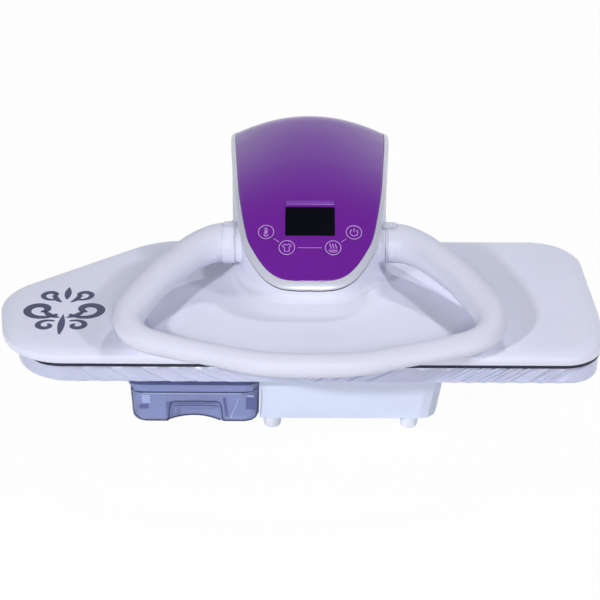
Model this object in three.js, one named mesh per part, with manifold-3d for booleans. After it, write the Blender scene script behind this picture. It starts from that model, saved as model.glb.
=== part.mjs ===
// A table-top steam ironing press, closed: a long padded board on a low base, a heated head hinged at the
// back, a looped handle on the head's control arm, and a water tank that slides out at the front.
// Millimetres. X runs along the board, Y from the operator to the hinge, Z up; the floor is Z = 0 and the
// origin is the middle of the whole press's footprint.
import * as THREE from 'three';
import { mergeVertices } from 'three/addons/utils/BufferGeometryUtils.js';
import Module from 'manifold-3d';

const wasm = await Module();
wasm.setup();

// Driving sizes of the whole press
const overallDepth = 428;
const headLength = 660;
const headDepth = 274;
const handleReach = 64;          // how far the handle's front bar stands out before the board's edge
const headOverhang = 8;          // the head's front edge before the board's edge
const pressingHeight = 95;       // top of the padded board above the floor

// Fits
const seatGap = 0.3;             // between pieces that touch
const runGap = 0.4;              // round a pin or shaft
const overrun = 3;               // how far a cutting solid runs past a face
const weldStep = 1e-4;           // vertices nearer than this are one

// Facet counts
const roundSides = 20;
const smallSides = 8;
const pinSides = 12;
const cornerSteps = 3;

const boardFront = handleReach - overallDepth / 2;

// Finishes
const paint = (color, roughness, metalness = 0) =>
  new THREE.MeshStandardMaterial({ color, roughness, metalness });
const whitePlastic = paint(0xe9e9f3, 0.35);
const purplePlastic = paint(0x6a2398, 0.2);
const silverPlastic = paint(0xc9ccd2, 0.3, 0.6);
const blackGloss = paint(0x08080c, 0.1);
const darkPlastic = paint(0x33343a, 0.5);
const rubber = paint(0xd8dae0, 0.8);
const blackRubber = paint(0x202024, 0.8);
const steel = paint(0xa6aab2, 0.35, 0.9);
const aluminium = paint(0xc2c5cb, 0.4, 0.9);
const fabric = paint(0xc6c8d4, 0.9);
const foam = paint(0xd9d2b8, 0.95);
const clearBlue = new THREE.MeshStandardMaterial({
  color: 0x9aaad2, roughness: 0.1, transparent: true, opacity: 0.5,
});
const circuitGreen = paint(0x1d5a3a, 0.5);
const insulation = paint(0xcfcabb, 0.9);

// Closed bodies from rings of points, and joining and cutting them

function closedGeometry(positions, indices) {
  const corner = i => new THREE.Vector3().fromArray(positions, indices[i] * 3);
  let volume = 0;
  for (let i = 0; i < indices.length; i += 3) {
    volume += corner(i).dot(corner(i + 1).cross(corner(i + 2)));
  }
  if (volume < 0) {
    for (let i = 0; i < indices.length; i += 3) {
      [indices[i], indices[i + 1]] = [indices[i + 1], indices[i]];
    }
  }
  const geometry = new THREE.BufferGeometry();
  geometry.setAttribute('position', new THREE.Float32BufferAttribute(positions, 3));
  geometry.setIndex(indices);
  geometry.computeVertexNormals();
  return geometry;
}

function ringSides(count, ringCount, closeAround) {
  const indices = [];
  const last = closeAround ? ringCount : ringCount - 1;
  for (let r = 0; r < last; r += 1) {
    const next = (r + 1) % ringCount;
    for (let i = 0; i < count; i += 1) {
      const j = (i + 1) % count;
      indices.push(r * count + i, r * count + j, next * count + j);
      indices.push(r * count + i, next * count + j, next * count + i);
    }
  }
  return indices;
}

// A body through a stack of rings, closed by a fan at each end
function loft(rings) {
  const count = rings[0].length;
  const positions = rings.flat().flatMap(p => [p.x, p.y, p.z]);
  const indices = ringSides(count, rings.length, false);
  const fan = (ring, start, turned) => {
    const middle = ring.reduce((sum, p) => sum.add(p), new THREE.Vector3()).divideScalar(count);
    const centre = positions.length / 3;
    positions.push(middle.x, middle.y, middle.z);
    for (let i = 0; i < count; i += 1) {
      const j = (i + 1) % count;
      indices.push(...(turned ? [start + j, start + i, centre] : [start + i, start + j, centre]));
    }
  };
  fan(rings[0], 0, true);
  fan(rings[rings.length - 1], (rings.length - 1) * count, false);
  return closedGeometry(positions, indices);
}

// A hollow frame through rings that come back to the first one
function frameLoft(rings) {
  const positions = rings.flat().flatMap(p => [p.x, p.y, p.z]);
  return closedGeometry(positions, ringSides(rings[0].length, rings.length, true));
}

function solidOf(geometry) {
  const bare = geometry.clone();
  bare.deleteAttribute('normal');
  bare.deleteAttribute('uv');
  const welded = mergeVertices(bare, weldStep);
  return new wasm.Manifold(new wasm.Mesh({
    numProp: 3,
    vertProperties: new Float32Array(welded.attributes.position.array),
    triVerts: new Uint32Array(welded.index.array),
  }));
}

function geometryOf(solid) {
  const mesh = solid.getMesh();
  const geometry = new THREE.BufferGeometry();
  geometry.setAttribute('position', new THREE.BufferAttribute(mesh.vertProperties, 3));
  geometry.setIndex(new THREE.BufferAttribute(mesh.triVerts, 1));
  geometry.computeVertexNormals();
  return geometry;
}

const join = (body, ...tools) =>
  geometryOf(tools.reduce((sum, tool) => sum.add(solidOf(tool)), solidOf(body)));
const cut = (body, ...tools) =>
  geometryOf(tools.reduce((rest, tool) => rest.subtract(solidOf(tool)), solidOf(body)));

// Plain shapes in place

function box(x0, x1, y0, y1, z0, z1) {
  const geometry = new THREE.BoxGeometry(x1 - x0, y1 - y0, z1 - z0);
  return geometry.translate((x0 + x1) / 2, (y0 + y1) / 2, (z0 + z1) / 2);
}

function pinX(radius, x0, x1, y, z, sides = roundSides) {
  const geometry = new THREE.CylinderGeometry(radius, radius, x1 - x0, sides);
  return geometry.rotateZ(Math.PI / 2).translate((x0 + x1) / 2, y, z);
}

function pinY(radius, y0, y1, x, z, sides = roundSides) {
  const geometry = new THREE.CylinderGeometry(radius, radius, y1 - y0, sides);
  return geometry.translate(x, (y0 + y1) / 2, z);
}

function pinZ(radius, z0, z1, x, y, sides = roundSides) {
  const geometry = new THREE.CylinderGeometry(radius, radius, z1 - z0, sides);
  return geometry.rotateX(Math.PI / 2).translate(x, y, (z0 + z1) / 2);
}

function turnedZ(profile, x, y, sides = roundSides) {
  const points = profile.map(([r, z]) => new THREE.Vector2(r, z));
  return new THREE.LatheGeometry(points, sides).rotateX(Math.PI / 2).translate(x, y, 0);
}

// A plate cut from a side view given in Y and Z, from x0 to x1
function sidePlate(points, x0, x1) {
  const shape = new THREE.Shape(points.map(([y, z]) => new THREE.Vector2(y, z)));
  const geometry = new THREE.ExtrudeGeometry(shape, { depth: x1 - x0, bevelEnabled: false });
  const across = new THREE.Matrix4().makeBasis(
    new THREE.Vector3(0, 1, 0), new THREE.Vector3(0, 0, 1), new THREE.Vector3(1, 0, 0));
  return geometry.applyMatrix4(across).translate(x0, 0, 0);
}

function tubeAlong(points, radius, sides, steps) {
  const circle = new THREE.Shape();
  circle.absarc(0, 0, radius, 0, Math.PI * 2);
  const outline = new THREE.Shape(circle.getPoints(sides).slice(0, sides));
  const path = new THREE.CatmullRomCurve3(points.map(p => new THREE.Vector3(...p)));
  return new THREE.ExtrudeGeometry(outline, { steps, extrudePath: path, bevelEnabled: false });
}

// An outline with rounded corners, each [x, y, radius], anticlockwise, drawn in by inset, with
// edgePoints[i] more points along the edge that leaves corner i
function roundedOutline(corners, inset = 0, edgePoints = []) {
  const count = corners.length;
  const edges = corners.map((corner, i) => {
    const next = corners[(i + 1) % count];
    const along = new THREE.Vector2(next[0] - corner[0], next[1] - corner[1]).normalize();
    const start = new THREE.Vector2(corner[0] - along.y * inset, corner[1] + along.x * inset);
    return { start, along };
  });
  const outline = [];
  corners.forEach((corner, i) => {
    const before = edges[(i + count - 1) % count];
    const after = edges[i];
    const turn = before.along.cross(after.along);
    const gap = after.start.clone().sub(before.start);
    const apex = before.start.clone().addScaledVector(before.along, gap.cross(after.along) / turn);
    const radius = Math.max(corner[2] - inset, corner[2] / 4);
    const angle = Math.acos(THREE.MathUtils.clamp(before.along.dot(after.along), -1, 1));
    const tangent = apex.clone().addScaledVector(before.along, -radius * Math.tan(angle / 2));
    const centre = new THREE.Vector2(-before.along.y, before.along.x).multiplyScalar(radius).add(tangent);
    const first = Math.atan2(tangent.y - centre.y, tangent.x - centre.x);
    for (let k = 0; k <= cornerSteps; k += 1) {
      const a = first + angle * k / cornerSteps;
      outline.push(new THREE.Vector2(centre.x + radius * Math.cos(a), centre.y + radius * Math.sin(a)));
    }
  });
  if (edgePoints.length === 0) return outline;
  const perCorner = cornerSteps + 1;
  return corners.flatMap((corner, i) => {
    const arc = outline.slice(i * perCorner, (i + 1) * perCorner);
    const from = arc[cornerSteps];
    const to = outline[((i + 1) * perCorner) % outline.length];
    const extra = Array.from({ length: edgePoints[i] }, (_, k) =>
      from.clone().lerp(to, (k + 1) / (edgePoints[i] + 1)));
    return [...arc, ...extra];
  });
}

const atHeight = (outline, z) => outline.map(p => new THREE.Vector3(p.x, p.y, z));
const slab = (outline, z0, z1) => loft([atHeight(outline, z0), atHeight(outline, z1)]);

function roundedBox(x0, x1, y0, y1, z0, z1, radius, inset = 0) {
  const corners = [[x0, y0, radius], [x1, y0, radius], [x1, y1, radius], [x0, y1, radius]];
  return slab(roundedOutline(corners, inset), z0, z1);
}

// The press as a scene graph: each moving body is a group

const press = new THREE.Group();
const group = () => {
  const made = new THREE.Group();
  press.add(made);
  return made;
};
const base = group();
const pressHead = group();
const handle = group();
const pullLink = group();
const waterTank = group();

function add(body, name, geometry, material) {
  const mesh = new THREE.Mesh(geometry, material);
  mesh.name = name;
  body.add(mesh);
}

// Plan outline shared by the head and the board: round at the left end, square at the right.
// Shares of the head's length and depth; radii as shares of the depth.
const headCornerShares = [
  [-0.497, 0, 0.27], [0.491, 0, 0.17], [0.5, 0.33, 1.45],
  [0.489, 1, 0.21], [-0.274, 1, 0.36], [-0.53, 0.5, 0.24],
];
const headEdgePoints = [10, 1, 2, 6, 3, 0];

function headOutline(inset, edgePoints = headEdgePoints) {
  const front = boardFront - headOverhang;
  const corners = headCornerShares.map(([x, y, r]) => [x * headLength, y * headDepth, r * headDepth]);
  const plain = roundedOutline(corners, 0, edgePoints);
  const reach = new THREE.Box2().setFromPoints(plain);
  const centre = reach.getCenter(new THREE.Vector2());
  const scale = headLength / (reach.max.x - reach.min.x);
  return roundedOutline(corners, inset, edgePoints)
    .map(p => new THREE.Vector2((p.x - centre.x) * scale, p.y + front));
}

// Board: a steel tray, a foam pad and a drawn-on fabric cover
const boardInset = 10;           // the board's edge inside the head's
const boardShift = 6;            // the board sits this far to the right under the head
const boardDepthOverall = 22;    // height of the covered board's edge
const coverThickness = 1.2;
const coverLip = 16;             // the hem turned in under the board
const coverEdge = 5;             // rounding of the cover's top edge
const gatherPitch = 30;          // of the cover's slanting gathers along the front
const gatherDepth = 1.4;
const gatherSlant = 1.3;         // a gather's run along the edge for its run down it
const coverEdgePoints = [74, 1, 2, 6, 3, 0];
const foamThickness = 9;
const trayThickness = 1.5;
const boardSupportDepth = 26;
const boardSupportSpan = 150;

const coverBottom = pressingHeight - boardDepthOverall;
const foamTop = pressingHeight - coverThickness - seatGap;
const trayTop = foamTop - foamThickness - seatGap;

function boardRing(inset, z, edgePoints = headEdgePoints) {
  const outline = headOutline(boardInset + inset, edgePoints);
  return outline.map(p => new THREE.Vector3(p.x + boardShift, p.y, z));
}

// The cover's front edge is drawn into gathers that slant towards the middle on their way down
function coverRing(inset, z, foldShare) {
  const front = boardFront - headOverhang + boardInset + inset;
  return boardRing(inset, z, coverEdgePoints).map(p => {
    if (foldShare === 0 || p.y > front + weldStep) return p;
    const phase = p.x + Math.sign(p.x) * (pressingHeight - z) * gatherSlant;
    const fold = (1 - Math.cos(2 * Math.PI * phase / gatherPitch)) / 2;
    return p.setY(p.y + fold * foldShare * gatherDepth);
  });
}

function makeBoard() {
  const inner = coverThickness + gatherDepth;
  add(base, 'board_cover', loft([
    coverRing(coverEdge + inner, pressingHeight - coverThickness, 0),
    coverRing(inner, pressingHeight - coverEdge - coverThickness, 0),
    coverRing(inner, coverBottom + coverThickness, 0),
    coverRing(coverLip, coverBottom + coverThickness, 0),
    coverRing(coverLip, coverBottom, 0),
    coverRing(coverEdge / 4, coverBottom, 0),
    coverRing(0, coverBottom + coverEdge / 2, 1),
    coverRing(0, pressingHeight - coverEdge, 1),
    coverRing(coverEdge / 4, pressingHeight - coverEdge / 3, 0.4),
    coverRing(coverEdge, pressingHeight, 0),
  ]), fabric);
  const padInset = inner + seatGap;
  add(base, 'board_foam_pad', loft([
    boardRing(padInset, trayTop + seatGap),
    boardRing(padInset, pressingHeight - coverEdge - coverThickness - seatGap),
    boardRing(padInset + coverEdge, foamTop),
  ]), foam);
  add(base, 'board_tray', loft([
    boardRing(padInset + trayThickness, trayTop - trayThickness),
    boardRing(padInset + trayThickness, coverBottom + coverThickness + seatGap),
    boardRing(padInset, coverBottom + coverThickness + seatGap),
    boardRing(padInset, trayTop),
  ]), steel);
}

// Base: a moulded housing of two blocks, with the tank's bay at the front left under a thin deck
const footHeight = 15;
const baseTop = 70;
const baseWall = 3;
const baseFrontSetback = 25;     // base front behind the board's edge
const baseRear = 325;            // base rear behind the board's edge
const baseRight = 160;
const baseRightDraft = 9;        // the right side leans in towards the bottom
const baseCorner = 20;
const bayRight = -40.5;           // wall between the tank's bay and the right block
const baseLeft = -194;
const bayDepth = 145;            // the bay runs this far back from the tank's front
const deckThickness = 4;
const bottomPlateThickness = 2.5;

const baseFront = boardFront + baseFrontSetback;
const baseBack = boardFront + baseRear;
const bayBack = baseFront + bayDepth;
const plateTop = footHeight + bottomPlateThickness;

// Hinge block at the back of the base, and the hinge above it
const hingeSetback = 306;        // hinge line behind the board's edge
const hingeHeight = 118;
const hingeBlockDrop = 26;       // top of the hinge block below the hinge line
const hingeBlockHalf = 70;
const hingeBlockFront = 30;      // before the hinge line
const hingeBlockBack = 14;       // behind it

const hingeY = boardFront + hingeSetback;
const hingeBlockTop = hingeHeight - hingeBlockDrop;
const hingeX = 11;               // the arm stands this far right of the head's middle

function rightBlock(inset, z0, z1) {
  const draftAt = z => baseRightDraft * (baseTop - z) / (baseTop - footHeight);
  const ring = z => atHeight(roundedOutline([
    [bayRight, baseFront, baseCorner / 4],
    [baseRight - draftAt(z), baseFront, baseCorner],
    [baseRight - draftAt(z), baseBack, baseCorner],
    [bayRight, baseBack, baseCorner / 4],
  ], inset), z);
  return loft([ring(z0), ring(z1)]);
}

function leftBlock(inset, z0, z1) {
  const overlap = baseWall * 2;
  return slab(roundedOutline([
    [baseLeft, bayBack, baseCorner / 2],
    [bayRight + overlap, bayBack, baseCorner / 4],
    [bayRight + overlap, baseBack, baseCorner / 4],
    [baseLeft, baseBack, baseCorner],
  ], inset), z0, z1);
}

const bossFrontInset = 46;
const bossRearInset = 60;
const bossLeftInset = 18;
const bossRightInset = 36;
const bossBayInset = 14;
const bossPlaces = [
  [bayRight + bossBayInset, baseFront + bossFrontInset],
  [baseRight - bossRightInset, baseFront + bossFrontInset],
  [baseLeft + bossLeftInset, baseBack - bossRearInset],
  [baseRight - bossRightInset, baseBack - bossRearInset],
];
const bossRadius = 5;
const screwRadius = 2;

function makeBaseHousing() {
  const roof = baseTop - baseWall;
  const blockX0 = hingeX - hingeBlockHalf;
  const blockX1 = hingeX + hingeBlockHalf;
  const blockY0 = hingeY - hingeBlockFront;
  const blockY1 = hingeY + hingeBlockBack;
  const deck = box(baseLeft, bayRight + baseWall, baseFront, bayBack + baseWall,
    baseTop - deckThickness, baseTop);
  const hingeBlock = box(blockX0, blockX1, blockY0, blockY1, roof, hingeBlockTop);
  const outer = join(rightBlock(0, footHeight, baseTop), leftBlock(0, footHeight, baseTop), deck, hingeBlock);
  const hollowed = cut(outer,
    rightBlock(baseWall, footHeight - overrun, roof),
    leftBlock(baseWall, footHeight - overrun, roof),
    box(bayRight - baseWall, bayRight + baseWall * 3, bayBack + baseWall * 2, baseBack - baseWall * 2,
      plateTop + baseWall, roof - baseWall),
    box(blockX0 + baseWall, blockX1 - baseWall, blockY0 + baseWall, blockY1 - baseWall,
      footHeight - overrun, hingeBlockTop - baseWall));
  const bosses = bossPlaces.map(([x, y]) =>
    pinZ(bossRadius, plateTop + seatGap, roof + baseWall / 2, x, y, smallSides));
  const bores = bossPlaces.map(([x, y]) =>
    pinZ(screwRadius + seatGap, footHeight - overrun, roof - baseWall, x, y, smallSides));
  const earSlots = bracketEars.map(([x0, x1]) => box(x0 - runGap, x1 + runGap,
    hingeY - bracketHalfDepth - runGap, hingeY + bracketBackDepth + runGap,
    hingeBlockTop - baseWall - overrun, hingeBlockTop + overrun));
  const glandHole = pinY(glandRadius + seatGap, baseBack - baseWall - overrun, baseBack + overrun,
    glandX, glandZ);
  add(base, 'base_housing', cut(join(hollowed, ...bosses), ...bores, ...earSlots, glandHole), whitePlastic);
}

function makeBottomPlate() {
  const fit = baseWall + seatGap;
  const plate = join(rightBlock(fit, footHeight, plateTop), leftBlock(fit, footHeight, plateTop),
    box(bayRight - fit, bayRight + fit * 3, bayBack + fit * 2, baseBack - fit * 2, footHeight, plateTop));
  const wallAbove = join(rightBlock(0, footHeight - overrun, plateTop + overrun),
    leftBlock(0, footHeight - overrun, plateTop + overrun));
  const trimmed = geometryOf(solidOf(plate).intersect(solidOf(wallAbove)));
  const holes = bossPlaces.map(([x, y]) =>
    pinZ(screwRadius + seatGap, footHeight - overrun, plateTop + overrun, x, y, smallSides));
  add(base, 'base_bottom_plate', cut(trimmed, ...holes), steel);
}

const footTopRadius = 11;
const footBottomRadius = 9;
const footRim = 1.5;
const footFrontInset = 12;
const footRearInset = 28;
const footLeftInset = 26;
const footRightInset = 39;
const footBayInset = 11;
const footPlaces = {
  front_left: [bayRight + footBayInset, baseFront + footFrontInset],
  front_right: [baseRight - footRightInset, baseFront + footFrontInset],
  rear_left: [baseLeft + footLeftInset, baseBack - footRearInset],
  rear_right: [baseRight - footRightInset, baseBack - footRearInset],
};

function makeFeetAndScrews() {
  for (const [name, [x, y]] of Object.entries(footPlaces)) {
    add(base, `foot_${name}`, turnedZ([
      [0, 0], [footBottomRadius - footRim, 0], [footBottomRadius, footRim],
      [footTopRadius, footHeight - seatGap], [0, footHeight - seatGap],
    ], x, y), rubber);
  }
  const headRadius = screwRadius * 2;
  const headHeight = screwRadius;
  bossPlaces.forEach(([x, y], i) => {
    const tip = plateTop + screwRadius * 6;
    add(base, `base_screw_${i + 1}`, turnedZ([
      [0, footHeight - seatGap - headHeight], [headRadius, footHeight - seatGap - headHeight],
      [headRadius, footHeight - seatGap], [screwRadius, footHeight - seatGap], [screwRadius, tip], [0, tip],
    ], x, y, smallSides), steel);
  });
}

function makeBoardSupports() {
  const places = [baseFront + boardSupportDepth, hingeY - hingeBlockFront - boardSupportDepth * 3];
  places.forEach((y, i) => {
    const outer = box(-boardSupportSpan, boardSupportSpan, y, y + boardSupportDepth,
      baseTop + seatGap, trayTop - trayThickness - seatGap);
    const inner = box(-boardSupportSpan - overrun, boardSupportSpan + overrun, y + trayThickness,
      y + boardSupportDepth - trayThickness, baseTop + seatGap + trayThickness,
      trayTop - trayThickness * 2 - seatGap);
    add(base, i === 0 ? 'board_support_front' : 'board_support_rear', cut(outer, inner), steel);
  });
}

// Hinge bracket: a foot plate on the bottom plate and two ears up through the hinge block
const bracketThickness = 4;
const bracketInside = 22;        // half the space between the ears
const bracketHalfDepth = 18;     // of an ear before the hinge line
const bracketBackDepth = 9;      // behind it
const hingePinRadius = 4.5;
const linkPinRadius = 3;
const linkAnchorBack = -4.9;     // the pull link's lower pivot, from the hinge line
const linkAnchorRise = 11.5;
const earMargin = 9;             // metal round the pivots
const bracketEars = [
  [hingeX - bracketInside - bracketThickness, hingeX - bracketInside],
  [hingeX + bracketInside, hingeX + bracketInside + bracketThickness],
];
const linkAnchorY = hingeY + linkAnchorBack;
const linkAnchorZ = hingeHeight + linkAnchorRise;

function makeHingeBracket() {
  const footTop = plateTop + seatGap + bracketThickness;
  const earTop = linkAnchorZ + earMargin;
  const front = hingeY - bracketHalfDepth;
  const back = hingeY + bracketBackDepth;
  const ear = ([x0, x1]) => sidePlate([
    [front, footTop - bracketThickness / 2], [back, footTop - bracketThickness / 2],
    [back, hingeHeight + earMargin / 2], [hingeY + earMargin / 2, earTop],
    [linkAnchorY - earMargin, earTop], [front, hingeHeight],
  ], x0, x1);
  const outer0 = bracketEars[0][0];
  const outer1 = bracketEars[1][1];
  const foot = box(outer0, outer1, front, back, plateTop + seatGap, footTop);
  const bores = [
    pinX(hingePinRadius + runGap, outer0 - overrun, outer1 + overrun, hingeY, hingeHeight, pinSides),
    pinX(linkPinRadius + runGap, outer0 - overrun, outer1 + overrun, linkAnchorY, linkAnchorZ, pinSides),
  ];
  add(base, 'hinge_bracket', cut(join(foot, ear(bracketEars[0]), ear(bracketEars[1])), ...bores), steel);
  add(base, 'hinge_pin', pinX(hingePinRadius, hingeX - armOutside - armThickness - pinEnd,
    hingeX + armOutside + armThickness + pinEnd, hingeY, hingeHeight, pinSides), steel);
  const springCore = hingePinRadius + runGap;
  const springOutside = springCore + springWire * 2;
  [-1, 1].forEach(side => {
    const x0 = hingeX + side * (bracketInside + bracketThickness + springWire);
    const x1 = hingeX + side * (armOutside - springWire);
    const coil = pinX(springOutside, Math.min(x0, x1), Math.max(x0, x1), hingeY, hingeHeight, pinSides);
    const bore = pinX(springCore, Math.min(x0, x1) - overrun, Math.max(x0, x1) + overrun,
      hingeY, hingeHeight, pinSides);
    add(base, side < 0 ? 'hinge_spring_left' : 'hinge_spring_right', cut(coil, bore), steel);
  });
}

// Water and power inside the base
const glandRadius = 7;
const glandInset = 54;
const glandX = baseRight - glandInset;
const glandZ = 40;
const glandFlange = 3;
const pumpRadius = 17;
const pumpLength = 62;
const pumpX = -143;
const pumpSetback = 62;
const pumpY = bayBack + pumpSetback;
const hoseRadius = 3.5;
const valveRadius = 7;
const valveZ = 34;
const valveX = -116;
const socketDepth = 12;
const boardHeight = 8;
const circuitThickness = 1.6;
const transformerHeight = 30;
const transformerHalfWidth = 21;
const powerBoardSetback = 64;
const powerBoardDepth = 90;

function makeBaseInsides() {
  const pumpZ = plateTop + seatGap + pumpRadius;
  add(base, 'water_pump',
    pinX(pumpRadius, pumpX - pumpLength / 2, pumpX + pumpLength / 2, pumpY, pumpZ), darkPlastic);
  const socketBack = bayBack + baseWall + seatGap;
  const socket = pinY(valveRadius + runGap + baseWall, socketBack, socketBack + socketDepth, valveX, valveZ);
  const throat = pinY(hoseRadius, socketBack - overrun, socketBack + socketDepth + overrun, valveX, valveZ);
  add(base, 'tank_socket', cut(socket, throat), darkPlastic);
  add(base, 'suction_hose', tubeAlong([
    [valveX, socketBack + socketDepth + seatGap, valveZ],
    [valveX, socketBack + socketDepth + hoseRadius * 4, valveZ],
    [valveX, pumpY - pumpRadius - hoseRadius * 3, pumpZ],
    [valveX, pumpY - pumpRadius - seatGap, pumpZ],
  ], hoseRadius, smallSides - 2, smallSides), rubber);
  add(base, 'pressure_hose', tubeAlong([
    [pumpX + pumpLength / 2 + seatGap, pumpY, pumpZ],
    [pumpX + pumpLength / 2 + hoseRadius * 6, pumpY, pumpZ],
    [hingeX - hoseRadius * 6, pumpY + hoseRadius * 4, pumpZ + hoseRadius],
    [hingeX, hingeY - bracketHalfDepth - hoseRadius * 2, pumpZ + hoseRadius * 2],
    [hingeX, hingeY - bracketHalfDepth - hoseRadius * 2, hingeBlockTop - baseWall - seatGap * 2],
  ], hoseRadius, smallSides - 2, pinSides), rubber);
  const boardX0 = bayRight + baseWall * 8;
  const boardX1 = baseRight - baseWall * 16;
  const boardY0 = baseFront + powerBoardSetback;
  const boardY1 = boardY0 + powerBoardDepth;
  const circuitBottom = plateTop + seatGap + boardHeight;
  const circuit = box(boardX0, boardX1, boardY0, boardY1, circuitBottom, circuitBottom + circuitThickness);
  const postInset = bossRadius * 1.5;
  const postPlaces = [boardX0 + postInset, boardX1 - postInset].flatMap(x =>
    [boardY0 + postInset, boardY1 - postInset].map(y => [x, y]));
  const posts = postPlaces.map(([x, y]) =>
    pinZ(bossRadius, plateTop + seatGap, circuitBottom + circuitThickness / 2, x, y, smallSides));
  add(base, 'power_board', join(circuit, ...posts), circuitGreen);
  const blockX = (boardX0 + boardX1) / 2;
  const blockY = (boardY0 + boardY1) / 2;
  const blockBottom = circuitBottom + circuitThickness + seatGap;
  add(base, 'transformer', roundedBox(blockX - transformerHalfWidth, blockX + transformerHalfWidth,
    blockY - transformerHeight / 2, blockY + transformerHeight / 2,
    blockBottom, blockBottom + transformerHeight, circuitThickness * 2), darkPlastic);
  const collar = pinY(glandRadius + glandFlange, baseBack + seatGap, baseBack + seatGap + glandFlange,
    glandX, glandZ);
  const barrel = pinY(glandRadius, baseBack - baseWall - glandFlange, baseBack + seatGap + glandFlange / 2,
    glandX, glandZ);
  const bore = pinY(glandRadius / 2, baseBack - baseWall - glandFlange - overrun,
    baseBack + glandFlange + overrun * 2, glandX, glandZ, pinSides);
  add(base, 'cord_gland', cut(join(collar, barrel), bore), blackRubber);
}

// Water tank: an open cup under a lid, hung by the lid's flanges on two rails
const tankLeft = -186.5;
const tankRight = -45;
const tankFrontSetback = 20;
const tankBottom = 11;
const lidBottom = 57.7;
const lidThickness = 2.5;
const lidCrown = 4;              // raised middle of the lid above its flange
const lidSkirt = 5.5;            // the front lip hangs this far below the flange
const flangeWidth = 3;
const apronLeft = -185;          // the tank's front is wider than the cup behind it, which the rails pass
const apronRight = -43.3;
const apronDepth = 13;
const tankWall = 2.2;
const tankCorner = 14;
const tankDraft = 2;             // the sides lean in towards the bottom
const gripWidth = 58;
const gripHeight = 27;
const gripDepth = 17;
const gripEdgeDepth = 6;
const railThickness = 2.4;
const railClearance = 0.6;
const railReach = 2;             // of a rail's foot under the lid's flange

const tankFront = boardFront + tankFrontSetback;
const tankBack = bayBack - railClearance;
const cupX0 = tankLeft + flangeWidth;
const cupX1 = tankRight - flangeWidth;
const tankMiddle = (cupX0 + cupX1) / 2;

function tankRing(inset, z, x0 = cupX0, x1 = cupX1) {
  const lean = tankDraft * (lidBottom - z) / (lidBottom - tankBottom);
  return atHeight(roundedOutline([
    [x0 + lean, tankFront + lean / 4, tankCorner],
    [x1 - lean / 4, tankFront + lean / 4, tankCorner],
    [x1 - lean / 4, tankBack, tankCorner],
    [x0 + lean, tankBack, tankCorner],
  ], inset), z);
}

// The cup's outside, between two sides
function tankBody(x0, x1) {
  const bottomRound = tankCorner * 0.45;
  return loft([
    tankRing(bottomRound, tankBottom, x0, x1),
    tankRing(bottomRound * 0.35, tankBottom + bottomRound * 0.3, x0, x1),
    tankRing(0, tankBottom + bottomRound, x0, x1), tankRing(0, lidBottom - seatGap, x0, x1),
  ]);
}

// The finger grip: a scoop, deepest in its middle, up from the tank's bottom edge
function gripScoop(grow) {
  const half = gripWidth / 2 + grow;
  const outline = [new THREE.Vector2(tankMiddle + half, tankFront - overrun)];
  for (let k = 0; k <= smallSides; k += 1) {
    const share = 1 - 2 * k / smallSides;
    const depth = gripEdgeDepth + (gripDepth - gripEdgeDepth) * (1 - share * share) + grow;
    outline.push(new THREE.Vector2(tankMiddle + share * half, tankFront + depth));
  }
  outline.push(new THREE.Vector2(tankMiddle - half, tankFront - overrun));
  const shape = new THREE.Shape(outline);
  const height = gripHeight + overrun + grow;
  return new THREE.ExtrudeGeometry(shape, { depth: height, bevelEnabled: false })
    .translate(0, 0, tankBottom - overrun);
}

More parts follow.
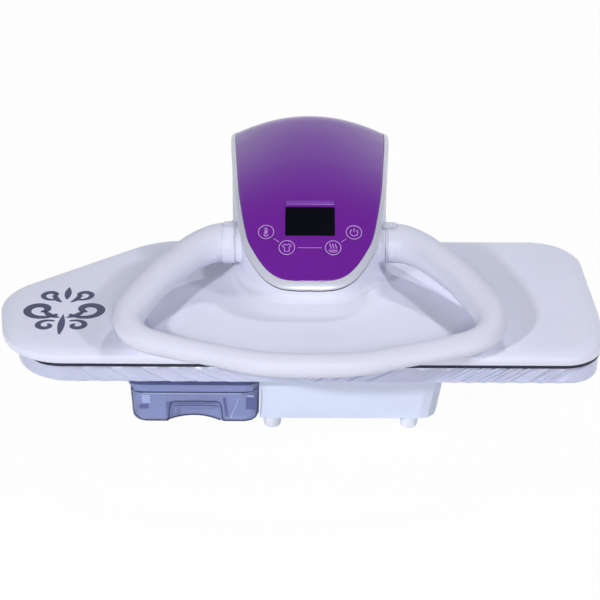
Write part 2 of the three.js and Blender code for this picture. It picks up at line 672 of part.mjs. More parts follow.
function makeTank() {
  const bottomRound = tankCorner * 0.45;
  const frontPart = box(apronLeft - overrun, apronRight + overrun, tankFront - tankWall - overrun,
    tankFront + apronDepth, tankBottom - overrun, lidBottom + lidThickness + overrun);
  const frontOf = body => geometryOf(solidOf(body).intersect(solidOf(frontPart)));
  const outer = join(tankBody(cupX0, cupX1), frontOf(tankBody(apronLeft, apronRight)));
  const inner = loft([
    tankRing(bottomRound + tankWall, tankBottom + tankWall),
    tankRing(tankWall, tankBottom + bottomRound), tankRing(tankWall, lidBottom + overrun),
  ]);
  const cup = cut(outer, gripScoop(0));
  const hollow = cut(inner, gripScoop(tankWall));
  const outletHole = pinY(valveRadius, tankBack - tankWall - overrun, tankBack + overrun, valveX, valveZ);
  add(waterTank, 'tank_cup', cut(cup, hollow, outletHole), clearBlue);

  const lidOutline = (inset, z, x1 = tankRight) => atHeight(roundedOutline([
    [tankLeft, tankFront - tankWall, tankCorner], [x1, tankFront - tankWall, tankCorner],
    [x1, tankBack, tankCorner / 2], [tankLeft, tankBack, tankCorner / 2],
  ], inset), z);
  const flange = loft([lidOutline(0, lidBottom), lidOutline(0, lidBottom + lidThickness)]);
  const crown = loft([
    lidOutline(flangeWidth * 3, lidBottom + lidThickness / 2),
    lidOutline(flangeWidth * 3.4, lidBottom + lidThickness + lidCrown),
  ]);
  const brow = frontOf(loft([
    lidOutline(0, lidBottom, apronRight), lidOutline(0, lidBottom + lidThickness, apronRight),
  ]));
  const skirtBlock = box(tankLeft, apronRight, tankFront - tankWall - overrun, tankFront - seatGap,
    lidBottom - lidSkirt, lidBottom + lidThickness / 2);
  const fullDepth = loft([
    lidOutline(0, lidBottom - lidSkirt, apronRight), lidOutline(0, lidBottom + lidThickness, apronRight),
  ]);
  const skirt = geometryOf(solidOf(skirtBlock).intersect(solidOf(fullDepth)));
  const underside = loft([
    lidOutline(flangeWidth * 3 + tankWall, lidBottom - overrun),
    lidOutline(flangeWidth * 3.4 + tankWall, lidBottom + lidThickness + lidCrown - tankWall),
  ]);
  const lidTop = lidBottom + lidThickness + lidCrown;
  const capHole = pinZ(fillerRadius + runGap, lidBottom - overrun, lidTop + overrun, tankMiddle, fillerY);
  add(waterTank, 'tank_lid', cut(join(flange, brow, crown, skirt), underside, capHole), clearBlue);

  const valveTip = socketDepth / 2;
  const valve = join(
    pinY(valveRadius - seatGap, tankBack - tankWall - baseWall, tankBack + seatGap / 2, valveX, valveZ),
    pinY(valveRadius + tankWall, tankBack - tankWall - baseWall, tankBack - tankWall - seatGap,
      valveX, valveZ));
  const throat = pinY(hoseRadius, tankBack - valveTip - overrun, tankBack + overrun,
    valveX, valveZ, pinSides);
  add(waterTank, 'tank_valve', cut(valve, throat), darkPlastic);
}

// Filler plug: a bayonet cap that turns a quarter in the lid
const fillerRadius = 15;
const fillerSetback = 60;
const fillerY = tankFront + fillerSetback;
const fillerGrip = 2.5;

const fillerCap = group();

function makeFillerCap() {
  const top = lidBottom + lidThickness + lidCrown;
  const plug = turnedZ([
    [0, lidBottom - lidThickness], [fillerRadius - runGap, lidBottom - lidThickness],
    [fillerRadius - runGap, top], [0, top],
  ], tankMiddle, fillerY);
  const scoops = [-1, 1].map(side => box(
    tankMiddle - fillerRadius * 0.6, tankMiddle + fillerRadius * 0.6,
    fillerY + side * fillerGrip * 2 - fillerGrip, fillerY + side * fillerGrip * 2 + fillerGrip,
    top - lidCrown, top + overrun));
  add(fillerCap, 'filler_cap', cut(plug, ...scoops), darkPlastic);
}

function makeTankRails() {
  const top = baseTop - deckThickness - seatGap;
  const footTop = lidBottom - seatGap;
  const rail = (web0, web1, foot0, foot1) => join(
    box(web0, web1, tankFront + tankCorner, bayBack - seatGap, footTop - railThickness, top),
    box(foot0, foot1, tankFront + tankCorner, bayBack - seatGap, footTop - railThickness, footTop));
  const leftWeb = tankLeft - railClearance - railThickness;
  const leftEnd = leftWeb + railThickness;
  add(base, 'tank_rail_left', rail(leftWeb, leftEnd, leftWeb, tankLeft + railReach), whitePlastic);
  const rightWeb = tankRight + railClearance;
  const rightEnd = rightWeb + railThickness;
  add(base, 'tank_rail_right', rail(rightWeb, rightEnd, tankRight - railReach, rightEnd), whitePlastic);
}

// Head: a domed shell over the heating plate
const headBottom = 101;
const rimHeight = 13;
const plateauRise = 16;          // shoulder plateau above the rim's bottom edge
const crownRise = 33;            // flat seat of the control arm above the rim's bottom edge
const shellWall = 2.5;
const seatFront = 76;            // the control arm's front behind the board's edge
const seatBack = 236;

// Control arm: its plan is a tongue, its top a long slope that rolls over at the back
const armBehindHinge = 58;
const armLength = hingeSetback - seatFront + armBehindHinge;
const armHalfWidth = 94;
const armRise = 110;             // crest above the seat
const armPlanShares = [
  [0, 0], [0, 0.16], [0.01, 0.36], [0.045, 0.54], [0.115, 0.71], [0.19, 0.81], [0.37, 0.9],
  [0.6, 0.95], [0.85, 0.985], [0.94, 0.94], [0.985, 0.82], [1, 0.62], [1, 0.3], [1, 0],
];
const armTopShares = [
  [0, 0.162], [0.02, 0.197], [0.15, 0.455], [0.24, 0.605], [0.35, 0.741], [0.48, 0.85], [0.61, 0.925],
  [0.74, 0.977], [0.82, 0.996], [0.875, 1], [0.92, 0.973], [0.96, 0.909], [1, 0.81],
];
const armCrownShare = 0.31;      // how much lower the side edges lie at the back, of the half width
const armFrontCrownShare = 0.16; // the crown at the front, of the crown at the back
const armSamples = 22;
const seatWidthShare = 0.86;     // of the seat's half width, of the arm's
const seatPower = 2.6;           // squareness of the seat's plan

const armTopCurve = new THREE.SplineCurve(armTopShares.map(([y, z]) => new THREE.Vector2(y, z)));
const armTopSamples = armTopCurve.getPoints(armSamples * 6);
const seatHeight = headBottom + crownRise;

// Height of the control arm's top at x, y, both from the middle of its front edge
function armTop(x, y) {
  const share = THREE.MathUtils.clamp(y / armLength, 0, 1);
  const next = Math.max(1, armTopSamples.findIndex(p => p.x >= share));
  const a = armTopSamples[next - 1];
  const b = armTopSamples[next];
  const middle = a.y + (b.y - a.y) * (share - a.x) / Math.max(b.x - a.x, weldStep);
  const crownHere = armFrontCrownShare + (1 - armFrontCrownShare) * share ** 1.5;
  const crown = armCrownShare * armHalfWidth * crownHere * (x / armHalfWidth) ** 2;
  return seatHeight + armRise * middle - crown;
}

function armOutline(inset) {
  const points = armPlanShares.map(([y, x]) => new THREE.Vector2(x * armHalfWidth, y * armLength));
  const right = new THREE.SplineCurve(points).getSpacedPoints(armSamples);
  const left = right.slice(1, -1).reverse().map(p => new THREE.Vector2(-p.x, p.y));
  const outline = [...right, ...left];
  return outline.map((p, i) => {
    const before = outline[(i + outline.length - 1) % outline.length];
    const after = outline[(i + 1) % outline.length];
    const along = after.clone().sub(before).normalize();
    return new THREE.Vector2(p.x - along.y * inset, p.y + along.x * inset);
  });
}

// Where a ray from the seat's middle towards a point leaves the seat
function seatEdge(toward, grow) {
  const middle = new THREE.Vector2(hingeX, boardFront + (seatFront + seatBack) / 2);
  const along = toward.clone().sub(middle).normalize();
  const halfX = armHalfWidth * seatWidthShare + grow;
  const halfY = (seatBack - seatFront) / 2 + grow;
  const spread = Math.abs(along.x / halfX) ** seatPower + Math.abs(along.y / halfY) ** seatPower;
  const reach = spread ** (-1 / seatPower);
  return middle.addScaledVector(along, reach);
}

// Rings up the shell's edge: inset as a share of the head's depth, then the shares of the rim's height and
// of the plateau's rise above the rim
const rimRingShares = [
  [0.0036, 0, 0], [0, 0.25, 0], [0, 0.65, 0], [0.0146, 0.95, 0], [0.0438, 1, 0.7], [0.0949, 1, 1],
];
const domeRingShares = [[0.4, 0.1], [0.72, 0.3], [0.9, 0.58]];
const skirtRise = 0.5;

function dome(grow, bottom) {
  const rings = rimRingShares.map(([inset, rim, plateau]) => atHeight(headOutline(inset * headDepth - grow),
    headBottom + rim * rimHeight + plateau * (plateauRise - rimHeight) + (rim > 0 ? grow : 0)));
  rings[0].forEach(p => { p.z = bottom; });
  const outer = headOutline(rimRingShares[rimRingShares.length - 1][0] * headDepth - grow);
  const plateau = headBottom + plateauRise;
  const blend = (share, rise) => outer.map(p => {
    const edge = seatEdge(p, skirtWidth + grow);
    const at = p.clone().lerp(edge, share);
    return new THREE.Vector3(at.x, at.y, plateau + rise * (crownRise - plateauRise) + grow);
  });
  domeRingShares.forEach(([share, rise]) => rings.push(blend(share, rise * skirtRise)));
  rings.push(blend(1, skirtRise));
  rings.push(outer.map(p => {
    const at = seatEdge(p, skirtWidth * 0.3 + grow);
    return new THREE.Vector3(at.x, at.y, plateau + 0.9 * (crownRise - plateauRise) + grow);
  }));
  rings.push(outer.map(p => {
    const at = seatEdge(p, grow);
    return new THREE.Vector3(at.x, at.y, seatHeight + grow);
  }));
  return loft(rings);
}

const skirtWidth = 12;           // concave foot round the control arm
const shellOpeningHalf = 60;
const shellOpeningInset = 16;
const linkSlotHalf = 7;          // notch at the back of the opening for the pull link
const linkSlotReach = 16;
const linkSlotDrop = 7.5;         // bottom of the notch below the link's lower pivot

function makeTopShell() {
  const opening = roundedBox(hingeX - shellOpeningHalf, hingeX + shellOpeningHalf,
    boardFront + seatFront + shellOpeningInset, boardFront + seatBack - shellOpeningInset / 2,
    headBottom, seatHeight + overrun, shellOpeningInset);
  const slotBack = boardFront + seatBack + linkSlotReach;
  const linkSlot = box(hingeX - linkSlotHalf, hingeX + linkSlotHalf,
    slotBack - shellOpeningInset * 3, slotBack, linkAnchorZ - linkSlotDrop, seatHeight + overrun);
  add(pressHead, 'top_shell',
    cut(dome(0, headBottom), dome(-shellWall, headBottom - overrun), opening, linkSlot), whitePlastic);
}

// Heating plate with its steam holes, element, thermostat and heat shield
const soleGap = 1.3;             // between the closed heating plate and the board
const soleThickness = 5;
const soleInset = 9;
const soleRound = 1.5;
const steamHoleRadius = 2;
const steamHoleRows = 4;
const steamHolesEachWay = 5;
const steamHolePitch = 45;
const steamHoleSides = 5;
const elementRadius = 3.5;
const elementSteps = 30;
// The element's path over the plate, as shares of the head's length and depth from the plate's middle
const elementShares = [
  [-0.05, 0.34], [-0.25, 0.29], [-0.4, 0], [-0.36, -0.29], [-0.3, -0.34], [0, -0.34],
  [0.36, -0.34], [0.43, -0.26], [0.43, 0.26], [0.36, 0.34], [0.1, 0.34],
];
const thermostatRadius = 11;
const thermostatStemRadius = 6;
const thermostatBody = 6;
const thermostatStem = 3;
const shieldThickness = 1;
const shieldInset = 24;

const soleBottom = pressingHeight + soleGap;
const soleTop = soleBottom + soleThickness;

function makeHeatingPlate() {
  const outline = inset => headOutline(soleInset + inset);
  const plate = loft([
    atHeight(outline(soleRound), soleBottom), atHeight(outline(0), soleBottom + soleRound),
    atHeight(outline(0), soleTop),
  ]);
  const middle = boardFront + headDepth / 2 - headOverhang;
  const holes = [];
  for (let row = 0; row < steamHoleRows; row += 1) {
    const y = middle + (row - (steamHoleRows - 1) / 2) * steamHolePitch;
    const half = steamHolesEachWay - (row % 2) / 2;
    for (let k = -half; k <= half; k += 1) {
      const x = hingeX + k * steamHolePitch;
      if (x > -headLength / 2 + steamHolePitch * 2) {
        holes.push(pinZ(steamHoleRadius, soleBottom - overrun, soleTop + overrun, x, y, steamHoleSides));
      }
    }
  }
  add(pressHead, 'heating_plate', cut(plate, ...holes), aluminium);

  const z = soleTop + seatGap + elementRadius;
  const path = elementShares.map(([x, y]) => [x * headLength, middle + y * headDepth, z]);
  add(pressHead, 'heating_element', tubeAlong(path, elementRadius, smallSides - 2, elementSteps), steel);

  const shieldBottom = z + elementRadius + seatGap;
  const shield = loft([
    atHeight(headOutline(shieldInset), shieldBottom),
    atHeight(headOutline(shieldInset), shieldBottom + shieldThickness),
  ]);
  const shieldOpening = roundedBox(hingeX - shellOpeningHalf, hingeX + shellOpeningHalf,
    boardFront + seatFront + shellOpeningInset, boardFront + seatBack - shellOpeningInset / 2,
    shieldBottom - overrun, shieldBottom + overrun, shellOpeningInset);
  add(pressHead, 'heat_shield', cut(shield, shieldOpening), insulation);

  const thermostatY = boardFront + seatBack - shellOpeningInset * 2;
  const bodyTop = soleTop + thermostatBody;
  add(pressHead, 'thermostat', turnedZ([
    [0, soleTop + seatGap], [thermostatRadius, soleTop + seatGap], [thermostatRadius, bodyTop],
    [thermostatStemRadius, bodyTop + thermostatStem], [0, bodyTop + thermostatStem],
  ], hingeX, thermostatY), blackRubber);
}

// Steel arm: two side plates on a carrier, from the hinge pin to the heating plate
const armThickness = 4;
const armOutside = 50;           // inside faces of the side plates, from the arm's middle
const pinEnd = 5;
const springWire = 2.5;
const carrierFront = 108;
const carrierBack = 188;
const carrierThickness = 3.5;
const boltRadius = 3;
const boltInset = 12;
const crossTubeSetback = 70;     // behind the hub
const crossTubeRise = 24;        // above the seat
// A side plate's outline: shares of the way from the hub to the hinge and from the carrier up to the hub
const armPlateShares = [
  [1.08, 0.2], [1.054, 0.491], [0.866, 0.879], [0.201, 1.226], [-0.067, 1.226], [-0.161, 0.935],
  [-0.329, 0.226], [-0.329, 0.016], [0.208, 0.016], [0.262, 0.588], [0.745, 0.588],
  [0.906, 0.2], [0.973, 0.071], [1.04, 0.071],
];

// Handle hub, where the handle turns on the control arm
const hubSetback = 157;
const hubHeight = 163.5;
const hubRadius = 22;
const hubFace = 84;              // face of the moulded hub, from the arm's middle
const hubDepth = 7;
const washerThickness = 2.2;
const shaftRadius = 6;
const hubY = boardFront + hubSetback;

function makePressArm() {
  const carrierBottom = soleTop + seatGap;
  const outside = armOutside + armThickness;
  const plateSide = x0 => sidePlate(armPlateShares.map(([y, z]) => [
    hubY + y * (hingeY - hubY), carrierBottom + z * (hubHeight - carrierBottom),
  ]), x0, x0 + armThickness);
  const carrierY0 = boardFront + carrierFront;
  const carrierY1 = boardFront + carrierBack;
  const carrier = box(hingeX - outside, hingeX + outside, carrierY0, carrierY1,
    carrierBottom, carrierBottom + carrierThickness);
  const tubeReach = armOutside + armThickness / 2;
  const crossTube = pinX(shaftRadius, hingeX - tubeReach, hingeX + tubeReach,
    hubY + crossTubeSetback, seatHeight + crossTubeRise, pinSides);
  const bore = (radius, y, z) =>
    pinX(radius + runGap, hingeX - outside - overrun, hingeX + outside + overrun, y, z, pinSides);
  const boltPlaces = [-1, 1].flatMap(side => [
    [hingeX + side * (armOutside - boltInset), carrierY0 + boltInset],
    [hingeX + side * (armOutside - boltInset), carrierY1 - boltInset],
  ]);
  const boltHoles = boltPlaces.map(([x, y]) => pinZ(boltRadius + runGap,
    carrierBottom - overrun, carrierBottom + carrierThickness + overrun, x, y, smallSides));
  const arm = join(carrier, plateSide(hingeX - outside), plateSide(hingeX + armOutside), crossTube);
  add(pressHead, 'press_arm', cut(arm, bore(hingePinRadius, hingeY, hingeHeight),
    bore(shaftRadius, hubY, hubHeight), ...boltHoles), steel);
  const under = carrierBottom + carrierThickness + seatGap;
  boltPlaces.forEach(([x, y], i) => {
    add(pressHead, `arm_bolt_${i + 1}`, turnedZ([
      [0, soleTop + seatGap], [boltRadius, soleTop + seatGap], [boltRadius, under],
      [boltRadius * 1.8, under], [boltRadius * 1.8, under + boltRadius], [0, under + boltRadius],
    ], x, y, smallSides), steel);
  });
}

// Control arm's covers: white housing, silver trim, purple control panel
const panelInset = 5.6;
const panelThickness = 2.5;
const panelMiddleShare = 0.55;
const panelRingShares = [1, 0.93, 0.8, 0.6, 0.35];
const trimDrop = 7.5;            // how far the trim's outer edge lies below the panel at the front
const trimFadeShare = 0.85;      // of the drop that is lost at the back
const trimLip = 2;
const trimInset = 3;
const housingInset = 1;
const housingWall = 2.5;
const housingBottom = 100;

const trimDropAt = y => trimDrop * (1 - trimFadeShare * (y / armLength) ** 3);
const armPlace = p => new THREE.Vector3(p.x + hingeX, p.y + boardFront + seatFront, p.z);
const armPoint = (outline, height) =>
  outline.map((p, i) => armPlace(new THREE.Vector3(p.x, p.y, height(p, i))));

function makeTrim() {
  const edge = armOutline(panelInset - seatGap);
  const edgeHeight = edge.map(p => armTop(p.x, p.y));
  const edgeDrop = edge.map(p => trimDropAt(p.y));
  const ring = (inset, dropShare, below) =>
    armPoint(armOutline(inset), (p, i) => edgeHeight[i] - dropShare * edgeDrop[i] - below);
  const band = frameLoft([
    ring(panelInset - seatGap, 0, 0), ring(0, 1, 0), ring(0, 1, trimLip),
    ring(trimInset, 1, trimLip), ring(panelInset - seatGap, 0, panelThickness),
  ]);
  const hubRelief = pinX(hubRadius + seatGap, hingeX - hubFace - overrun, hingeX + hubFace + overrun,
    hubY, hubHeight);
  const hubInner = hubFace - hubDepth - seatGap * 3;
  const inside = box(hingeX - hubInner, hingeX + hubInner, hubY - hubRadius * 2, hubY + hubRadius * 2,
    hubHeight - hubRadius * 2, hubHeight + hubRadius * 2);
  add(pressHead, 'control_trim', cut(band, cut(hubRelief, inside)), silverPlastic);
}

function makeArmHousing() {
  const edge = armOutline(panelInset - seatGap);
  const top = edge.map(p => armTop(p.x, p.y) - trimDropAt(p.y) - trimLip - seatGap);
  const ring = (inset, heights) =>
    armPoint(armOutline(inset), (p, i) => (heights ? heights[i] : housingBottom));
  const walls = frameLoft([
    ring(housingInset), ring(housingInset, top),
    ring(housingInset + housingWall, top), ring(housingInset + housingWall),
  ]);
  const hubs = [-1, 1].map(side => {
    const inner = hingeX + side * (hubFace - hubDepth);
    const outer = hingeX + side * hubFace;
    return pinX(hubRadius, Math.min(inner, outer), Math.max(inner, outer), hubY, hubHeight);
  });
  const bore = pinX(shaftRadius + runGap, hingeX - hubFace - overrun, hingeX + hubFace + overrun,
    hubY, hubHeight);
  add(pressHead, 'arm_housing', cut(join(walls, ...hubs), dome(seatGap * 3, 0), bore), whitePlastic);
}

// Controls, each set square to the panel's surface at its own place
const displayBack = 66;          // of the display's middle from the arm's front
const displayWidth = 55;
const displayHeight = 39;
const displaySunk = 1;
const windowThickness = 2;
const moduleThickness = 5;
const keyRadius = 9.6;
const keyProud = 0.4;
const keyTravel = 0.8;
const keySkirt = 3.2;
const stemRadius = 2;
const controlBoardDrop = 12.5;
const controlBoardWidth = 116;
const controlBoardHeight = 84;
const controlBoardBack = 50;
const boardBossShares = [[0.2, -0.42], [0.37, 0.44]];
const keyPlaces = {
  heat_key: [-48.4, 54.5],
  fabric_key: [-25.4, 37.5],
  steam_key: [25.4, 37.5],
  power_key: [48.4, 54.5],
};

// A frame whose Z stands square to the panel at x, y and whose X runs across it
function panelFrame(x, y, flat = false) {
  const step = panelThickness;
  const slopeX = flat ? 0 : (armTop(x + step, y) - armTop(x - step, y)) / (2 * step);
  const slopeY = (armTop(x, y + step) - armTop(x, y - step)) / (2 * step);
  const up = new THREE.Vector3(-slopeX, -slopeY, 1).normalize();
  const across = new THREE.Vector3(1, 0, slopeX).normalize();
  const frame = new THREE.Matrix4().makeBasis(across, up.clone().cross(across), up);
  return frame.setPosition(armPlace(new THREE.Vector3(x, y, armTop(x, y))));
}

const controlFrame = panelFrame(0, controlBoardBack, true);

// Height of the panel's surface over a place on the control board's frame
function panelOver(across, along) {
  const up = new THREE.Vector3().setFromMatrixColumn(controlFrame, 2);
  const corner = armPlace(new THREE.Vector3());
  let height = 0;
  for (let pass = 0; pass < smallSides; pass += 1) {
    const at = new THREE.Vector3(across, along, height).applyMatrix4(controlFrame).sub(corner);
    height += (armTop(at.x, at.y) - corner.z - at.z) * up.z;
  }
  return height;
}

function makePanel() {
  const outline = armOutline(panelInset);
  const middle = new THREE.Vector2(0, armLength * panelMiddleShare);
  const ring = (share, drop) => outline.map(p => {
    const at = middle.clone().lerp(p, share);
    return armPlace(new THREE.Vector3(at.x, at.y, armTop(at.x, at.y) - drop));
  });
  const skin = loft([
    ...panelRingShares.slice().reverse().map(share => ring(share, panelThickness)),
    ...panelRingShares.map(share => ring(share, 0)),
  ]);
  const bosses = boardBossShares.flatMap(([x, y]) => [-1, 1].map(side => {
    const across = side * x * controlBoardWidth;
    const along = y * controlBoardHeight;
    return pinZ(bossRadius * 0.8, seatGap - controlBoardDrop, panelOver(across, along) - panelThickness * 0.6,
      across, along, smallSides).applyMatrix4(controlFrame);
  }));
  const window = roundedBox(-displayWidth / 2, displayWidth / 2, -displayHeight / 2, displayHeight / 2,
    -panelThickness * 3, overrun * 2, displaySunk * 2).applyMatrix4(panelFrame(0, displayBack));
  const keyHoles = Object.values(keyPlaces).map(([x, y]) =>
    pinZ(keyRadius + runGap, -panelThickness * 3, overrun * 2, 0, 0).applyMatrix4(panelFrame(x, y)));
  add(pressHead, 'control_panel', cut(join(skin, ...bosses), window, ...keyHoles), purplePlastic);
}

const keyBodies = {};

function makeControls() {
  const displayFrame = panelFrame(0, displayBack);
  const displayBox = (inset, z0, z1, radius) => {
    const halfWide = displayWidth / 2 - inset;
    const halfHigh = displayHeight / 2 - inset;
    return roundedBox(-halfWide, halfWide, -halfHigh, halfHigh, z0, z1, radius).applyMatrix4(displayFrame);
  };
  const windowTop = -displaySunk;
  const moduleTop = windowTop - windowThickness - seatGap;
  add(pressHead, 'display_window',
    displayBox(seatGap, windowTop - windowThickness, windowTop, displaySunk * 2), blackGloss);
  add(pressHead, 'display_module',
    displayBox(displaySunk * 2, moduleTop - moduleThickness, moduleTop, displaySunk), darkPlastic);
  const halfBoard = controlBoardWidth / 2;
  const halfTall = controlBoardHeight / 2;
  add(pressHead, 'control_board', slab(roundedOutline([
    [-halfBoard * 0.55, -halfTall, bossRadius], [halfBoard * 0.55, -halfTall, bossRadius],
    [halfBoard, -halfTall * 0.2, bossRadius], [halfBoard, halfTall + bossRadius, bossRadius],
    [-halfBoard, halfTall + bossRadius, bossRadius], [-halfBoard, -halfTall * 0.2, bossRadius],
  ]), -controlBoardDrop - circuitThickness, -controlBoardDrop).applyMatrix4(controlFrame), circuitGreen);
  const boardPoint = new THREE.Vector3(0, 0, -controlBoardDrop).applyMatrix4(controlFrame);
  const boardUp = new THREE.Vector3().setFromMatrixColumn(controlFrame, 2);
  for (const [name, [x, y]] of Object.entries(keyPlaces)) {
    const frame = panelFrame(x, y);
    const top = new THREE.Vector3().setFromMatrixPosition(frame);
    const up = new THREE.Vector3().setFromMatrixColumn(frame, 2);
    const reach = top.clone().sub(boardPoint).dot(boardUp) / up.dot(boardUp);
    const stemEnd = -(reach - keyTravel * 1.6);
    const cap = turnedZ([
      [0, stemEnd], [stemRadius, stemEnd], [stemRadius, -keySkirt], [keyRadius, -keySkirt],
      [keyRadius, keyProud / 2], [keyRadius - keyProud, keyProud], [0, keyProud],
    ], 0, 0).applyMatrix4(frame);
    keyBodies[name] = group();
    add(keyBodies[name], name, cap, purplePlastic);
  }
}

// Handle: one loop from hub to hub round the front of the control arm
const handleHalfWidth = 192;
const frontBarRise = 24;         // middle of the front bar above the head's lower edge
const handleFace = hubFace + washerThickness + seatGap * 2;
// Shares of the half width and of the reach from the hub to the front bar's middle
const handlePathShares = [
  [0.272, 0.985], [0.505, 0.928], [0.731, 0.869], [0.925, 0.797], [1.006, 0.68], [0.98, 0.54], [0.872, 0.335],
  [0.767, 0.197], [0.672, 0.087], [0.58, 0.022],
];
// Section along the loop from the front bar to the hub: half width in the loop's plane and half thickness
const handleWidthShares = [0.57, 0.565, 0.545, 0.555, 0.62, 0.755, 0.86, 0.85, 0.85, 0.89, 0.95, 1, 1];
const handleThickShares = [0.61, 0.585, 0.55, 0.575, 0.64, 0.72, 0.76, 0.78, 0.82, 0.9, 0.96, 1, 1];
const handleSides = 14;
const handleSteps = 26;          // along each half

function makeHandle() {
  const frontBar = handleReach - hubRadius * 0.6;
  const reach = hubSetback + frontBar;
  const handleSlope = (hubHeight - headBottom - frontBarRise) / reach;
  const half = [[0, 1], ...handlePathShares]
    .map(([x, y]) => new THREE.Vector2(x * handleHalfWidth, -y * reach));
  half.push(new THREE.Vector2(handleFace + hubRadius * 0.5, 0), new THREE.Vector2(handleFace, 0));
  const left = half.slice(1).reverse().map(p => new THREE.Vector2(-p.x, p.y));
  const path = new THREE.SplineCurve([...left, ...half]);
  const widthCurve = new THREE.SplineCurve(handleWidthShares.map((v, i) => new THREE.Vector2(i, v)));
  const thickCurve = new THREE.SplineCurve(handleThickShares.map((v, i) => new THREE.Vector2(i, v)));
  const tilt = new THREE.Vector3(0, 1, handleSlope).normalize();
  const across = new THREE.Vector3(1, 0, 0);
  const up = across.clone().cross(tilt);
  const place = p => new THREE.Vector3(hingeX + p.x, hubY + p.y, hubHeight + p.y * handleSlope);
  const rings = [];
  for (let k = -handleSteps; k <= handleSteps; k += 1) {
    const t = 0.5 + k / (2 * handleSteps);
    const at = path.getPoint(t);
    const along = path.getTangent(t);
    if (Math.abs(k) === handleSteps) along.set(Math.sign(along.x), 0);
    const side = across.clone().multiplyScalar(-along.y).addScaledVector(tilt, along.x);
    const share = Math.abs(k) / handleSteps;
    const wide = widthCurve.getPoint(share).y * hubRadius;
    const thick = thickCurve.getPoint(share).y * hubRadius;
    rings.push(Array.from({ length: handleSides }, (_, i) => {
      const a = i * 2 * Math.PI / handleSides;
      return place(at).addScaledVector(side, wide * Math.cos(a)).addScaledVector(up, thick * Math.sin(a));
    }));
  }
  add(handle, 'handle_loop', loft(rings), whitePlastic);

  const shaftEnd = handleFace - seatGap;
  add(handle, 'handle_shaft',
    pinX(shaftRadius, hingeX - shaftEnd, hingeX + shaftEnd, hubY, hubHeight), steel);
  [-1, 1].forEach(side => {
    const inner = hingeX + side * (hubFace + seatGap);
    const outer = hingeX + side * (hubFace + seatGap + washerThickness);
    const ring = pinX(hubRadius, Math.min(inner, outer), Math.max(inner, outer), hubY, hubHeight);
    const bore = pinX(shaftRadius + seatGap,
      Math.min(inner, outer) - overrun, Math.max(inner, outer) + overrun, hubY, hubHeight);
    add(handle, side < 0 ? 'hub_washer_left' : 'hub_washer_right', cut(ring, bore), steel);
  });

  // Crank on the shaft, that the pull link turns as the arm rises
  const crankAcross = crankY - hubY;
  const crankDown = crankZ - hubHeight;
  const length = Math.hypot(crankAcross, crankDown);
  const cheek = side => {
    const x0 = hingeX + (side < 0 ? -crankInside - crankThickness : crankInside);
    const x1 = x0 + crankThickness;
    const bar = new THREE.BoxGeometry(crankThickness, length, crankEye * 1.6)
      .rotateX(Math.atan2(crankDown, crankAcross))
      .translate((x0 + x1) / 2, hubY + crankAcross / 2, hubHeight + crankDown / 2);
    return join(bar, pinX(shaftRadius * 2, x0, x1, hubY, hubHeight),
      pinX(crankEye, x0, x1, crankY, crankZ, pinSides));
  };
  const spacerReach = crankInside + crankThickness / 2;
  const spacer = pinX(shaftRadius * 1.6, hingeX - spacerReach, hingeX + spacerReach, hubY, hubHeight);
  const bores = [
    pinX(shaftRadius + seatGap, hingeX - crankInside * 3, hingeX + crankInside * 3, hubY, hubHeight),
    pinX(linkPinRadius + seatGap, hingeX - crankInside * 3, hingeX + crankInside * 3,
      crankY, crankZ, pinSides),
  ];
  add(handle, 'handle_crank', cut(join(cheek(-1), cheek(1), spacer), ...bores), steel);
  const pinReach = crankInside + crankThickness;
  add(handle, 'crank_pin',
    pinX(linkPinRadius, hingeX - pinReach, hingeX + pinReach, crankY, crankZ, pinSides), steel);
}

// Pull link from the hinge bracket to the crank. Its crank eye is wide, as the turns keep a constant ratio
// only nearly.
const crankInside = 5;
const crankThickness = 3;
const crankEye = 7;
const crankSetback = 120.2;
const crankHeight = 142.5;
const linkThickness = 5;
const linkHalfHeight = 5;
const linkEyeSlack = 1.2;
const crankY = boardFront + crankSetback;
const crankZ = crankHeight;

function makePullLink() {
  const dy = crankY - linkAnchorY;
  const dz = crankZ - linkAnchorZ;
  const bar = new THREE.BoxGeometry(linkThickness, Math.hypot(dy, dz), linkHalfHeight * 2)
    .rotateX(Math.atan2(dz, dy))
    .translate(hingeX, (crankY + linkAnchorY) / 2, (crankZ + linkAnchorZ) / 2);
  const x0 = hingeX - linkThickness / 2;
  const x1 = hingeX + linkThickness / 2;
  const eyes = [
    pinX(linkPinRadius + earMargin / 3, x0, x1, linkAnchorY, linkAnchorZ, pinSides),
    pinX(linkPinRadius + linkEyeSlack + earMargin / 3, x0, x1, crankY, crankZ, pinSides),
  ];
  const bores = [
    pinX(linkPinRadius + runGap, x0 - overrun, x1 + overrun, linkAnchorY, linkAnchorZ, pinSides),
    pinX(linkPinRadius + linkEyeSlack, x0 - overrun, x1 + overrun, crankY, crankZ, pinSides),
  ];
  add(pullLink, 'pull_link', cut(join(bar, ...eyes), ...bores), steel);
  add(base, 'link_pin', pinX(linkPinRadius, bracketEars[0][0], bracketEars[1][1],
    linkAnchorY, linkAnchorZ, pinSides), steel);
}

makeBoard();
makeBaseHousing();
makeBottomPlate();
makeFeetAndScrews();
makeBoardSupports();
makeHingeBracket();
makeBaseInsides();
makeTankRails();
makeTank();
makeFillerCap();
makeTopShell();
makeHeatingPlate();
makePressArm();
makeTrim();
makeArmHousing();
makePanel();
makeControls();
makeHandle();
makePullLink();

export default press;
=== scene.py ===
import math

import bmesh
import bpy
from mathutils import Matrix, Vector
from mathutils.bvhtree import BVHTree


